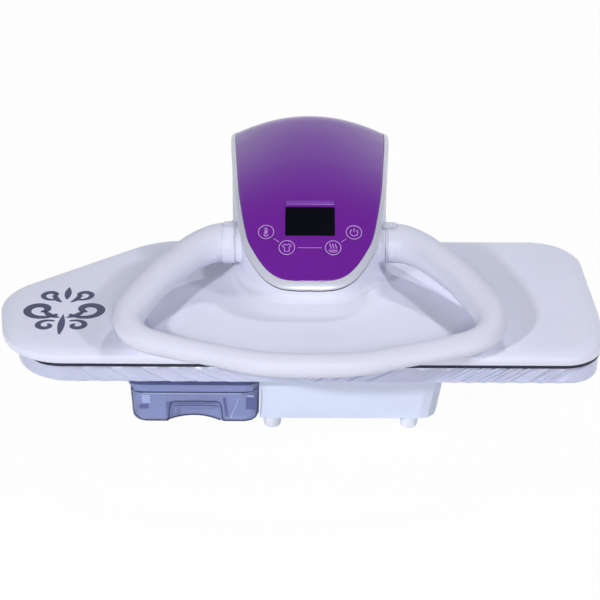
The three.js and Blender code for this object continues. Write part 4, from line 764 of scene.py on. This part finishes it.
def shell_rings(grow=0.0):
    rings = []
    for inset, rim, plateau in RIM_RING_SHARES:
        z = HEAD_BOTTOM + rim * RIM_HEIGHT + plateau * (PLATEAU_RISE - RIM_HEIGHT) + (grow if rim else 0)
        rings.append(at_height(head_outline(inset * HEAD_DEPTH - grow), z))
    outer = head_outline(RIM_RING_SHARES[-1][0] * HEAD_DEPTH - grow)
    plateau = HEAD_BOTTOM + PLATEAU_RISE + grow
    rise = CROWN_RISE - PLATEAU_RISE

    def blended(share, lift, spread):
        return at_height([p.lerp(seat_edge(p, spread + grow), share) for p in outer], plateau + lift * rise)

    rings.extend(blended(share, lift * SKIRT_RISE, SKIRT_WIDTH) for share, lift in DOME_RING_SHARES)
    rings.extend((blended(1, SKIRT_RISE, SKIRT_WIDTH), blended(1, 0.9, SKIRT_WIDTH * 0.3), blended(1, 1, 0)))
    rings = spline_rings(rings, RINGS_BETWEEN)
    middle = Vector((HINGE_X, SEAT_MIDDLE, SEAT_HEIGHT + grow))
    rings.append([Vector(p).lerp(middle, SHELL_OPENING_SHARE) for p in rings[-1]])
    return rings


def make_shell():
    outer = shell_rings()
    inner = shell_rings(-SHELL_WALL)
    for p in inner[0]:
        p[2] = HEAD_BOTTOM
    shell = make_piece("shell_moulding", loft(outer + inner[::-1], closed=True), "shell", smooth_angle=50)
    cut_away(shell, mesh_object("link_notch", box(*LINK_SLOT)))
    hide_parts("top_shell")


def make_rim_gap_shade():
    """A dark ring under the shell's rim: painted shade that shows as a thin gap line between shell and board, drawn
    in at the left end.
    """
    deep = head_outline(GAP_SHADE_DEEP)

    def ring(inset, below):
        made = []
        for near, far in zip(head_outline(inset), deep):
            share = clamped((-near.x - GAP_SHADE_FADE[0]) / (GAP_SHADE_FADE[1] - GAP_SHADE_FADE[0]))
            at = near.lerp(far, share * 0.9)
            made.append(Vector((at.x, at.y, HEAD_BOTTOM - below)))
        return made

    make_piece("rim_gap_shade", band(ring, *RIM_GAP_SHADE), "gap_shade")


# Control arm

ARM_TOP_SAMPLES = [spline(ARM_TOP_SHARES, k / 400) for k in range(401)]


def arm_top(x, y):
    """Height of the control arm's top at x, y, both from the middle of its front edge."""
    share = clamped(y / ARM_LENGTH)
    after = next((i for i, p in enumerate(ARM_TOP_SAMPLES) if p[0] >= share and i > 0), len(ARM_TOP_SAMPLES) - 1)
    a, b = ARM_TOP_SAMPLES[after - 1], ARM_TOP_SAMPLES[after]
    middle = a[1] + (b[1] - a[1]) * (share - a[0]) / max(b[0] - a[0], 1e-6)
    crown_here = ARM_FRONT_CROWN_SHARE + (1 - ARM_FRONT_CROWN_SHARE) * share ** 1.5
    crown = ARM_CROWN_SHARE * ARM_HALF_WIDTH * crown_here * (x / ARM_HALF_WIDTH) ** 2
    return SEAT_HEIGHT + ARM_RISE * middle - crown


def arm_outline(inset):
    half = [(x * ARM_HALF_WIDTH, y * ARM_LENGTH) for y, x in ARM_PLAN_SHARES]
    right = evenly([spline(half, k / 900) for k in range(901)], ARM_SAMPLES)
    left = [Vector((-p.x, p.y)) for p in reversed(right[1:-1])]
    outline = right + left
    moved = []
    for i, p in enumerate(outline):
        along = (outline[(i + 1) % len(outline)] - outline[i - 1]).normalized()
        moved.append(Vector((p.x - along.y * inset, p.y + along.x * inset)))
    return moved


def arm_place(x, y, z):
    return Vector((x + HINGE_X, y + BOARD_FRONT + SEAT_FRONT, z))


def trim_drop(y):
    return TRIM_DROP * (1 - TRIM_FADE_SHARE * (y / ARM_LENGTH) ** 3)


PANEL_EDGE = PANEL_INSET - SEAT_GAP
# Rings of the trim: inset, share of the way down its band, and depth below that
TRIM_RINGS = (
    (PANEL_EDGE, 0, PANEL_THICKNESS), (PANEL_EDGE, 0, 0.5), (PANEL_EDGE - 0.4, 0.02, 0), (PANEL_EDGE * 0.72, 0.2, 0),
    (PANEL_EDGE * 0.4, 0.5, 0), (PANEL_EDGE * 0.15, 0.8, 0), (0, 1, 0), (0, 1, TRIM_LIP - 0.5), (0.5, 1, TRIM_LIP),
    (TRIM_INSET, 1, TRIM_LIP),
)
# Rings of the housing, up from its foot fillet and down again inside: inset, share of the height, depth below
HOUSING_INNER = HOUSING_INSET + HOUSING_WALL
HOUSING_RINGS = (
    (HOUSING_INSET - 6, 0, 0), (HOUSING_INSET - 3, 0, -1.2), (HOUSING_INSET - 1, 0, -3.2), (HOUSING_INSET, 0, -6.5),
    (HOUSING_INSET, 0.5, 0), (HOUSING_INSET, 0.75, 0), (HOUSING_INSET, 1, 1.0), (HOUSING_INSET + 0.5, 1, 0),
    (HOUSING_INNER, 1, 0), (HOUSING_INNER, 0.5, 0), (HOUSING_INNER, 0, 0),
)
TURNED_SIDES = 72


def make_trim():
    edge = [(arm_top(*p), trim_drop(p.y)) for p in arm_outline(PANEL_EDGE)]

    def ring(inset, share, below):
        return [arm_place(*p, height - share * drop - below) for p, (height, drop) in zip(arm_outline(inset), edge)]

    trim = make_piece("trim_band", loft([ring(*at) for at in TRIM_RINGS], closed=True), "trim", smooth_angle=60)
    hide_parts("control_trim")


def make_housing(shell_tree):
    tops = [arm_top(*p) - trim_drop(p.y) - TRIM_LIP - SEAT_GAP - GAP_SHADE_HEIGHT for p in arm_outline(PANEL_EDGE)]

    def ring(inset, share, below):
        made = []
        for p, top in zip(arm_outline(inset), tops):
            place = arm_place(*p, 0)
            place.y = min(place.y, BOARD_FRONT + SEAT_FRONT + ARM_LENGTH)
            foot = max(HOUSING_BOTTOM, height_on(shell_tree, place.x, place.y) + SEAT_GAP)
            made.append(Vector((place.x, place.y, foot + (top - foot) * share - below)))
        return made

    def gap_shade_ring(inset, raised):
        return [arm_place(*p, top + raised) for p, top in zip(arm_outline(inset), tops)]

    # A dark band under the trim's lip, in the gap to the housing: painted shade that darkens the gap line
    make_piece("trim_gap_shade", band(gap_shade_ring, 0.3, HOUSING_WALL, 0.1, GAP_SHADE_HEIGHT + SEAT_GAP), "gap_shade", smooth_angle=50)
    moulding = loft([ring(*at) for at in HOUSING_RINGS], closed=True)
    housing = make_piece("arm_moulding", moulding, "housing", smooth_angle=50)
    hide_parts("arm_housing")
    for side, name in zip((-1, 1), SIDES):
        inside = HINGE_X + side * (HUB_FACE - HUB_DEPTH - 4)
        face = HINGE_X + side * HUB_FACE
        turned_x(f"hub_{name}", [
            (SHAFT_RADIUS + 0.4, inside), (HUB_RADIUS + 1.5, inside), (HUB_RADIUS, face - side * 3.4),
            (HUB_RADIUS, face - side * 1.2), (HUB_RADIUS - 0.4, face - side * 0.4),
            (HUB_RADIUS - 1.2, face), (SHAFT_RADIUS + 0.4, face),
        ], "housing")
    make_hub_details()


def make_hub_details():
    """A sleeve over the handle's left end, and a small clip on top of each hub."""
    near, far = HINGE_X - HUB_FACE + 0.5, HINGE_X - SLEEVE_END
    turned_x("hub_sleeve", [
        (HUB_RADIUS + 0.35, near), (HUB_RADIUS + 1, near), (HUB_RADIUS + 1, far + 0.6),
        (HUB_RADIUS + 0.7, far), (HUB_RADIUS + 0.35, far),
    ], "housing")
    arc = [math.radians(90 + 17 * (k / 5 - 1)) for k in range(11)]
    low = HUB_RADIUS + 1.1
    for name, x0, x1 in CLIPS:
        rings = [[Vector((HINGE_X + x, HUB_Y + radius * math.cos(a), HUB_HEIGHT + radius * math.sin(a)))
                  for radius, line in ((low + 0.2 + lift, arc), (low, arc[::-1])) for a in line]
                 for x, lift in ((x0, 0), (x0 + 0.5, CLIP_HEIGHT), (x1 - 0.5, CLIP_HEIGHT), (x1, 0))]
        make_piece(f"hub_clip_{name}", loft(rings), "trim", smooth_angle=30)


def turned_x(name, profile, finish, body="press_head", slot=None):
    """A ring turned about the handle's shaft, from (radius, x) points that close on themselves."""
    rings = [[Vector((x, HUB_Y + radius * c, HUB_HEIGHT + radius * s)) for c, s in around(TURNED_SIDES)]
             for radius, x in profile]
    return make_piece(name, loft(rings, closed=True), finish, body, slot=slot)


# Controls

def panel_frame(x, y):
    """A frame whose Z stands square to the panel at x, y and whose X runs across it, in millimetres."""
    step = PANEL_THICKNESS
    slope_x = (arm_top(x + step, y) - arm_top(x - step, y)) / (2 * step)
    slope_y = (arm_top(x, y + step) - arm_top(x, y - step)) / (2 * step)
    up = Vector((-slope_x, -slope_y, 1)).normalized()
    across = Vector((1, 0, slope_x)).normalized()
    along = up.cross(across)
    turn = Matrix((across, along, up)).transposed().to_4x4()
    return Matrix.Translation(arm_place(x, y, arm_top(x, y))) @ turn


def framed(shape, place):
    points, faces = shape
    return [place @ Vector(p) for p in points], faces


def rounded_rectangle(half_x, half_y, radius):
    corners = [(x * half_x, y * half_y, radius) for x, y in ((-1, -1), (1, -1), (1, 1), (-1, 1))]
    return rounded_outline(corners, steps=6)


def rounded_slab(half_x, half_y, radius, z0, z1, soft=0.3):
    """A plate with rounded corners and a softened top edge, about its own middle."""
    outline = rounded_rectangle(half_x, half_y, radius)
    inner = rounded_rectangle(half_x - soft, half_y - soft, max(radius - soft, 0.1))
    return loft([at_height(outline, z0), at_height(outline, z1 - soft), at_height(inner, z1)])


def turned_ring(radius, z):
    return [Vector((radius * c, radius * s, z)) for c, s in around(64)]


def turned_z(*profile):
    """Points and faces turned about the Z axis from (radius, z) points; the ends are capped."""
    return loft([turned_ring(*at) for at in profile])


CUT_LEVELS = (-9, 7)
PANEL_LINES = (((-13, 37.2), (13, 37.2)), ((-40.2, 47.4), (-34.2, 43.6)), ((40.2, 47.4), (34.2, 43.6)))
PANEL_RING_SHARES = (1, 0.985, 0.95, 0.9, 0.84, 0.77, 0.7, 0.62, 0.54, 0.46, 0.38, 0.3, 0.22, 0.14, 0.07)


def make_panel():
    outline = arm_outline(PANEL_INSET)
    soft = arm_outline(PANEL_INSET + 0.5)
    middle = Vector((0, ARM_LENGTH * PANEL_MIDDLE_SHARE))

    def ring(line, share, drop):
        return [arm_place(*at, arm_top(*at) - drop) for at in (middle.lerp(p, share) for p in line)]

    top = [ring(outline, 1, 0.45)] + [ring(soft, share, 0) for share in PANEL_RING_SHARES]
    under = [ring(outline, share, PANEL_THICKNESS) for share in reversed(PANEL_RING_SHARES)]
    panel = make_piece("control_fascia", loft(under + top), "purple", smooth_angle=45)
    display = rounded_slab(DISPLAY_WIDTH / 2, DISPLAY_HEIGHT / 2, 2, *CUT_LEVELS)
    hole = turned_z(*((KEY_RADIUS + KEY_GAP, z) for z in CUT_LEVELS))
    cut_away(panel, mesh_object("display_hole", framed(display, panel_frame(0, DISPLAY_BACK))), *(
        mesh_object(f"{name}_hole", framed(hole, panel_frame(*at))) for name, at in KEY_PLACES.items()))
    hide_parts("control_panel")


def make_display():
    half_x, half_y = DISPLAY_WIDTH / 2, DISPLAY_HEIGHT / 2
    pane = rounded_slab(half_x - SEAT_GAP, half_y - SEAT_GAP, 2, -3, -1, 0.4)
    glass = make_piece("display_glass", framed(pane, panel_frame(0, DISPLAY_BACK)), "window")
    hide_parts("display_window")
    # The raised lip over the display; its lighter violet is painted reflection
    lip = rounded_slab(half_x - 0.5, 2.9, 1.4, -0.6, 0.5, 0.5)
    make_piece("display_lip", framed(lip, panel_frame(0, DISPLAY_BACK + half_y + 3.1)), "lip")


def make_keys():
    top = turned_z((KEY_RADIUS, -KEY_SKIRT), (KEY_RADIUS, KEY_PROUD * 0.3), (KEY_RADIUS - 0.15, KEY_PROUD * 0.75),
                   (KEY_RADIUS - 0.5, KEY_PROUD))
    # Dark bands in the gaps round the keys: painted shade in the gaps
    gap_shade = band(turned_ring, KEY_RADIUS + 0.06, KEY_RADIUS + KEY_GAP - 0.03, -1.2, -0.25)
    for name, (x, y) in KEY_PLACES.items():
        place = panel_frame(x, y)
        cap = make_piece(f"{name}_cap", framed(top, place), "purple", name)
        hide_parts(name)
        make_piece(f"{name}_seal", framed(gap_shade, place), "gap_shade")
        make_print(f"{name}_print", [circle(KEY_RING, 48)] + KEY_SIGNS[name], place, KEY_PROUD, KEY_STROKE, name)
    for i, ((x0, y0), (x1, y1)) in enumerate(PANEL_LINES):
        x, y = (x0 + x1) / 2, (y0 + y1) / 2
        local = [(x0 - x, (y0 - y) * 1.25), (x1 - x, (y1 - y) * 1.25)]
        make_print(f"panel_line_{i + 1}", [(local, False)], panel_frame(x, y), 0.03, 0.55, "press_head")


def circle(radius, steps, x=0.0, y=0.0, first=0.0, turn=2 * math.pi):
    closed = turn >= 2 * math.pi
    count = steps if closed else steps + 1
    return [(x + radius * math.cos(first + turn * k / steps), y + radius * math.sin(first + turn * k / steps))
            for k in range(count)], closed


def wave_stroke(x, low=-1, high=5, swing=0.8, steps=14):
    return [(x + swing * math.sin(2 * math.pi * k / steps), low + (high - low) * k / steps)
            for k in range(steps + 1)], False


KEY_SIGNS = {
    "heat_key": [
        ([(-1.1, -1.2), (-1.1, 4.4), (0, 5.4), (1.1, 4.4), (1.1, -1.2)], False),
        circle(2.3, 20, 0, -3.2, math.radians(60), math.radians(300)),
        ([(0, -3.2), (0, 2.2)], False),
    ],
    "fabric_key": [
        ([(-2.2, 4.2), (-5, 2.2), (-3.8, 0.4), (-2.6, 1.2), (-2.6, -4.6), (2.6, -4.6), (2.6, 1.2), (3.8, 0.4),
          (5, 2.2), (2.2, 4.2), (0, 3)], True),
    ],
    "steam_key": [
        wave_stroke(-3), wave_stroke(0), wave_stroke(3),
        ([(-5, -3), (5, -3), (3.6, -5), (-3.6, -5)], True),
    ],
    "power_key": [
        circle(4.2, 24, 0, -0.3, math.radians(125), math.radians(290)),
        ([(0, 0.4), (0, 5.2)], False),
    ],
}


def make_print(name, strokes, place, lift, width, body, finish="print", thickness=0.07):
    """Strokes on a flat frame: thin raised ribbons."""
    lines = [([Vector(p) for p in line], closed, [width] * len(line)) for line, closed in strokes]
    return make_piece(name, framed(ribbons(lines, lift, thickness), place), finish, body)


def ribbons(strokes, lift, thickness):
    """Flat bands about a level, along strokes of (points, whether closed, widths), with tops, bottoms and sides."""
    points, faces = [], []
    for line, closed, widths in strokes:
        start, count = len(points), len(line)
        for i, p in enumerate(line):
            before = line[i - 1] if closed or i > 0 else p
            after = line[(i + 1) % count] if closed or i < count - 1 else p
            along = (after - before).normalized()
            side = Vector((-along.y, along.x)) * widths[i] / 2
            points.extend(Vector((q.x, q.y, z)) for q in (p + side, p - side)
                          for z in (lift - thickness, lift + thickness))
        for i in range(count if closed else count - 1):
            a, b = start + 4 * i, start + 4 * ((i + 1) % count)
            faces.extend((a + u, a + v, b + v, b + u) for u, v in ((1, 3), (3, 2), (2, 0), (0, 1)))
        if not closed:
            a, b = start, start + 4 * (count - 1)
            faces.extend(((a, a + 1, a + 3, a + 2), (b, b + 2, b + 3, b + 1)))
    return points, faces


# Ornament on the shell: a plain mirrored scroll of spirals and leaves

ORNAMENT_MIDDLE = (-258, -70)
ORNAMENT_SCALE = (1.18, 1.1)
ORNAMENT_BOLD = 1.35
# Spirals: x, y, first and last radius, degrees it starts at, turns, width. Leaves: x, y, length, lean, width.
SPIRALS = ((22, 2, 19, 3.5, -150, 1.15, 7), (15, 33, 11, 2.5, -120, 1.05, 5), (14, -30, 11, 2.5, 130, -1.05, 5))
LEAVES = ((3, -14, 22, 62, 5), (4, 18, 20, 38, 4.4))
MIDDLE_LEAVES = ((-48, 40), (24, 26))


def spiral(x, y, start_radius, end_radius, first, turns, thick, steps=60):
    line, widths = [], []
    for k in range(steps + 1):
        share = k / steps
        radius = start_radius + (end_radius - start_radius) * share ** 0.8
        a = first + turns * 2 * math.pi * share
        line.append(Vector((x + radius * math.cos(a), y + radius * math.sin(a))))
        widths.append(thick * (0.18 + 0.82 * math.sin(math.pi * (0.08 + 0.86 * share)) ** 0.8))
    return line, widths


def leaf(x, y, length, angle, thick, bend, steps=26):
    line, widths = [], []
    for k in range(steps + 1):
        share = k / steps
        a = angle + bend * (share - 0.5)
        line.append(Vector((x + length * share * math.cos(a), y + length * share * math.sin(a))))
        widths.append(thick * math.sin(math.pi * min(0.97, 0.05 + share * 0.95)) ** 0.9 + 0.2)
    return line, widths


def make_ornament(shell_tree):
    strokes = []
    for side, first in ((-1, math.pi), (1, 0)):
        strokes.extend(spiral(side * x, y, start, end, first + side * math.radians(turn), side * turns, thick)
                       for x, y, start, end, turn, turns, thick in SPIRALS)
        strokes.extend(leaf(side * x, y, length, math.radians(90 - side * lean), thick, side * 0.6)
                       for x, y, length, lean, thick in LEAVES)
    strokes.extend(leaf(0, y, length, math.radians(90), 5.5, 0) for y, length in MIDDLE_LEAVES)
    (scale_x, scale_y), (x, y) = ORNAMENT_SCALE, ORNAMENT_MIDDLE
    points, faces = ribbons([([Vector((p.x * scale_x + x, p.y * scale_y + y)) for p in line], False,
                              [w * ORNAMENT_BOLD for w in widths]) for line, widths in strokes], 0, 0.06)
    for p in points:
        p.z += height_on(shell_tree, p.x, p.y, HEAD_BOTTOM + PLATEAU_RISE) + 0.04
    make_piece("shell_scroll", (points, faces), "slate")


# Handle

def make_handle():
    slope = (HUB_HEIGHT - HEAD_BOTTOM - FRONT_BAR_RISE) / HANDLE_REACH
    half = [(0, -HANDLE_REACH), *((x * HANDLE_HALF_WIDTH, -y * HANDLE_REACH) for x, y in HANDLE_PATH_SHARES),
            (HANDLE_FACE + HUB_RADIUS * 0.5, 0), (HANDLE_FACE, 0)]
    path = [(-x, y) for x, y in reversed(half[1:])] + half
    sizes = list(zip(HANDLE_WIDTH_SHARES, HANDLE_THICK_SHARES))
    tilt = Vector((0, 1, slope)).normalized()
    across = Vector((1, 0, 0))
    up = across.cross(tilt)
    reach = 0.5 / HANDLE_STEPS / 4
    rings = []
    for k in range(-HANDLE_STEPS, HANDLE_STEPS + 1):
        t = 0.5 + k / (2 * HANDLE_STEPS)
        x, y = spline(path, t)
        ahead, behind = spline(path, min(1, t + reach)), spline(path, max(0, t - reach))
        along = Vector((ahead[0] - behind[0], ahead[1] - behind[1])).normalized()
        if abs(k) == HANDLE_STEPS:
            along = Vector((1 if along.x > 0 else -1, 0))
        side = across * -along.y + tilt * along.x
        wide, thick = (v * HUB_RADIUS for v in spline(sizes, abs(k) / HANDLE_STEPS))
        middle = Vector((HINGE_X + x, HUB_Y + y, HUB_HEIGHT + y * slope))
        rings.append([middle + side * (wide * c) + up * (thick * s) for c, s in around(HANDLE_SIDES)])
    loop = make_piece("handle_moulding", loft(rings), "handle", "handle", 50)
    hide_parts("handle_loop")
    for side, name in zip((-1, 1), SIDES):
        inside = HINGE_X + side * (HUB_FACE + SEAT_GAP)
        outside = HINGE_X + side * (HUB_FACE + SEAT_GAP + WASHER_THICKNESS)
        soft = side * 0.4
        washer = turned_x(f"washer_{name}", [
            (SHAFT_RADIUS + 0.3, inside), (HUB_RADIUS - 0.4, inside), (HUB_RADIUS, inside + soft),
            (HUB_RADIUS, outside - soft), (HUB_RADIUS - 0.4, outside), (SHAFT_RADIUS + 0.3, outside),
        ], "handle", "handle", "steel")
        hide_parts(f"hub_washer_{name}")


# Board cover: metallised fabric drawn over the board's edge in slanting gathers

PLEAT_DROP = 0.12


def pleat(place):
    """Depth across overlapping pleats, one to each whole place: a slow rise and a quick drop."""
    share = place - math.floor(place)
    return share / (1 - PLEAT_DROP) if share < 1 - PLEAT_DROP else (1 - share) / PLEAT_DROP


def cord(place):
    """Depth across drawn cords, one to each whole place: a round ridge between broader hollows."""
    return 1 - abs(math.cos(math.pi * place)) ** 3


def gather_fold(x, down):
    """Depth of the gathers from 0 to 1 at a place along the front and a share of the way down."""
    middle = max(0.0, 1 - abs(abs(x) - 55) / 250)
    slant = 0.7 + 1.7 * middle if x < 0 else 1.2 + 0.9 * middle
    phase = x + math.copysign(1, x) * down * BOARD_DEPTH * slant
    wander = 7 * math.sin(phase / 43 + 0.7) + 4 * math.sin(phase / 19 + 2.1)
    here = (phase + wander) * (1 if x < 0 else -1)
    pitch = 26 if x < 0 else 19
    swell = 0.65 + 0.35 * math.sin(phase / 37 + 1.1)
    if x < 0:
        return 0.8 * swell * pleat(here / pitch) + 0.2 * pleat(here / pitch * 2.3 + 0.4) * (1 - swell * 0.5)
    return (0.35 + 0.5 * swell) * cord(here / pitch) + 0.15 * pleat(here / pitch * 1.7 + 0.4)


def cover_ring(inset, z, fold=0.0):
    front = BOARD_FRONT - HEAD_OVERHANG + BOARD_INSET + inset
    outline = head_outline(BOARD_INSET + inset, COVER_EDGE_POINTS)
    down = (PRESSING_HEIGHT - z) / BOARD_DEPTH
    ring = []
    for p in outline:
        x, y = p.x + BOARD_SHIFT, p.y
        near = max(0.0, 1 - (y - front) / 40) ** 1.5
        calm = clamped((HEAD_LENGTH * 0.47 - abs(p.x)) / 60)
        y += (gather_fold(p.x, down) * GATHER_DEPTH - GATHER_PROUD) * fold * near * calm
        ring.append(Vector((x, y, z)))
    return ring


def make_cover():
    top, bottom = PRESSING_HEIGHT, PRESSING_HEIGHT - BOARD_DEPTH
    rings = spline_rings([cover_ring(*at) for at in (
        (COVER_LIP, bottom + 1.2), (COVER_LIP, bottom + 0.2), (COVER_LIP - 1, bottom), (4, bottom),
        (1.2, bottom + 0.6, 0.6), (0.3, bottom + 2, 1), *((0, bottom + 3.3 + 1.3 * k, 1) for k in range(10)),
        (0, top - COVER_EDGE, 0.85), (0.5, top - 3, 0.6), (1.6, top - 1.3, 0.4), (3.4, top - 0.4, 0.2),
        (COVER_EDGE + 1, top),
    )], 2)
    middle = Vector((BOARD_SHIFT, BOARD_FRONT + HEAD_DEPTH / 2 - HEAD_OVERHANG, top))
    edge = [Vector(p) for p in rings[-1]]
    rings += [[p.lerp(middle, share) for p in edge] for share in (0.05, 0.15, 0.35, 0.6, 0.85)]
    points, faces = loft(rings, capped=False)
    count, last = len(edge), len(points)
    points.append(middle)
    faces.extend((last - count + i, last - count + (i + 1) % count, last) for i in range(count))
    cover = make_piece("cover_sewn", (points, faces), "cover", "base", 80)
    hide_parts("board_cover")


def make_base_edge():
    """The upright lip at the base's left end, which closes the gap to the tank."""
    left, right = BASE_EDGE
    outline = rounded_outline([
        (left, BASE_FRONT, 0.8), (right, BASE_FRONT, 0.02), (right, BASE_FRONT + BASE_EDGE_DEPTH, 0.02),
        (left, BASE_FRONT + BASE_EDGE_DEPTH, 0.8),
    ], steps=4)
    make_piece("base_edge", loft([at_height(outline, z) for z in (BASE_EDGE_BOTTOM, BASE_EDGE_TOP)]), "base", "base")


# Tank: painted shade, painted highlights and a painted reflection on its clear front, for what shows in and on it

FRONT_FRAME = Matrix.Translation((0, TANK_FRONT, 0)) @ Matrix((
    (1, 0, 0, 0), (0, 0, -1, 0), (0, 1, 0, 0), (0, 0, 0, 1)))
# Dark lines along the clear cup's edges, its lid band and its grip: painted shade where the clear plastic's edges
# look dark
TANK_EDGE_SHADE = [
    ([(-143.2, 14.2), (-142.6, 16), (-141.4, 30), (-139.6, 36.5), (-136, 38.6), (-90, 38.6), (-86.4, 36.5),
      (-84.6, 30), (-83.4, 16), (-82.8, 14.2)], False),
    ([(-182, 56), (-181.2, 45), (-180.4, 29), (-178.8, 21.5), (-173.5, 15.8), (-167, 14.2), (-143.2, 14.2)], False),
    ([(-82.8, 14.2), (-59, 14.2), (-51.5, 16), (-46.8, 21.5), (-45.2, 30), (-44.6, 45), (-44.2, 56)], False),
    ([(-181.6, 55.5), (-179, 51.6), (-173, 49.8), (-60, 49.8), (-51, 51.6), (-45.4, 55.5)], False),
]
# Marks on the clear front: pale painted highlights, including a light line under the lid edge; dark painted shade of
# inner ribs and the grip; and the dark and light strands of a painted reflection
TANK_BLOCKS = (
    ("highlight_left", "painted_highlight_blue", [(-166.5, 36), (-166.5, 46.5)], 9),
    ("shade_left", "tank_shade", [(-169, 29), (-169, 34.5)], 10),
    ("shade_right", "tank_shade", [(-53, 29), (-53, 43)], 10),
    ("highlight_right", "painted_highlight_blue", [(-53, 44), (-53, 46.5)], 7),
    ("reflection_dark", "tank_shade", [(-79, 20), (-81.5, 43)], 3),
    ("reflection_light", "painted_highlight_blue", [(-74.5, 18), (-66, 42)], 1.4),
    ("grip_shade_line", "tank_shade", [(-136, 33), (-89, 33)], 1.3),
    ("lid_edge_highlight", "painted_highlight_blue", [(-170, 48.4), (-62, 48.4)], 1.2),
)


def make_grip_shade():
    """A dark line along the bottom edge of the finger grip, which curves back into the cup: painted shade where the
    clear plastic's edge looks dark.
    """
    rings = []
    for k in range(33):
        share = 1 - k / 16
        y = TANK_FRONT + GRIP_EDGE_DEPTH + (GRIP_DEPTH - GRIP_EDGE_DEPTH) * (1 - share * share)
        x = GRIP_MIDDLE - share * GRIP_WIDTH / 2
        rings.append([Vector((x, y + dy, TANK_BOTTOM + dz))
                      for dy, dz in ((-0.5, 0), (0.2, 0), (0.2, 1.5), (-0.5, 1.5))])
    make_piece("tank_grip_shade", loft(rings), "edge_shade_blue", "water_tank")


def make_tank_details():
    make_grip_shade()
    make_print("tank_edge_shade", TANK_EDGE_SHADE, FRONT_FRAME, TANK_MARK_LIFT, 1.15, "water_tank", "edge_shade_blue", 0.25)
    for name, finish, line, width in TANK_BLOCKS:
        make_print(f"tank_{name}", [(line, False)], FRONT_FRAME, TANK_MARK_LIFT, width, "water_tank", finish, 0.2)


# Building

make_camera()
make_world()
make_lights()
make_floor()
FINISHES = make_finishes()
dress_nodes()
make_shell()
make_rim_gap_shade()
SHELL_TREE = BVHTree.FromPolygons(*loft(shell_rings()))
make_trim()
make_housing(SHELL_TREE)
make_panel()
make_display()
make_keys()
make_ornament(SHELL_TREE)
make_handle()
make_cover()
make_base_edge()
make_tank_details()

bpy.context.scene.view_settings.view_transform = "Standard"
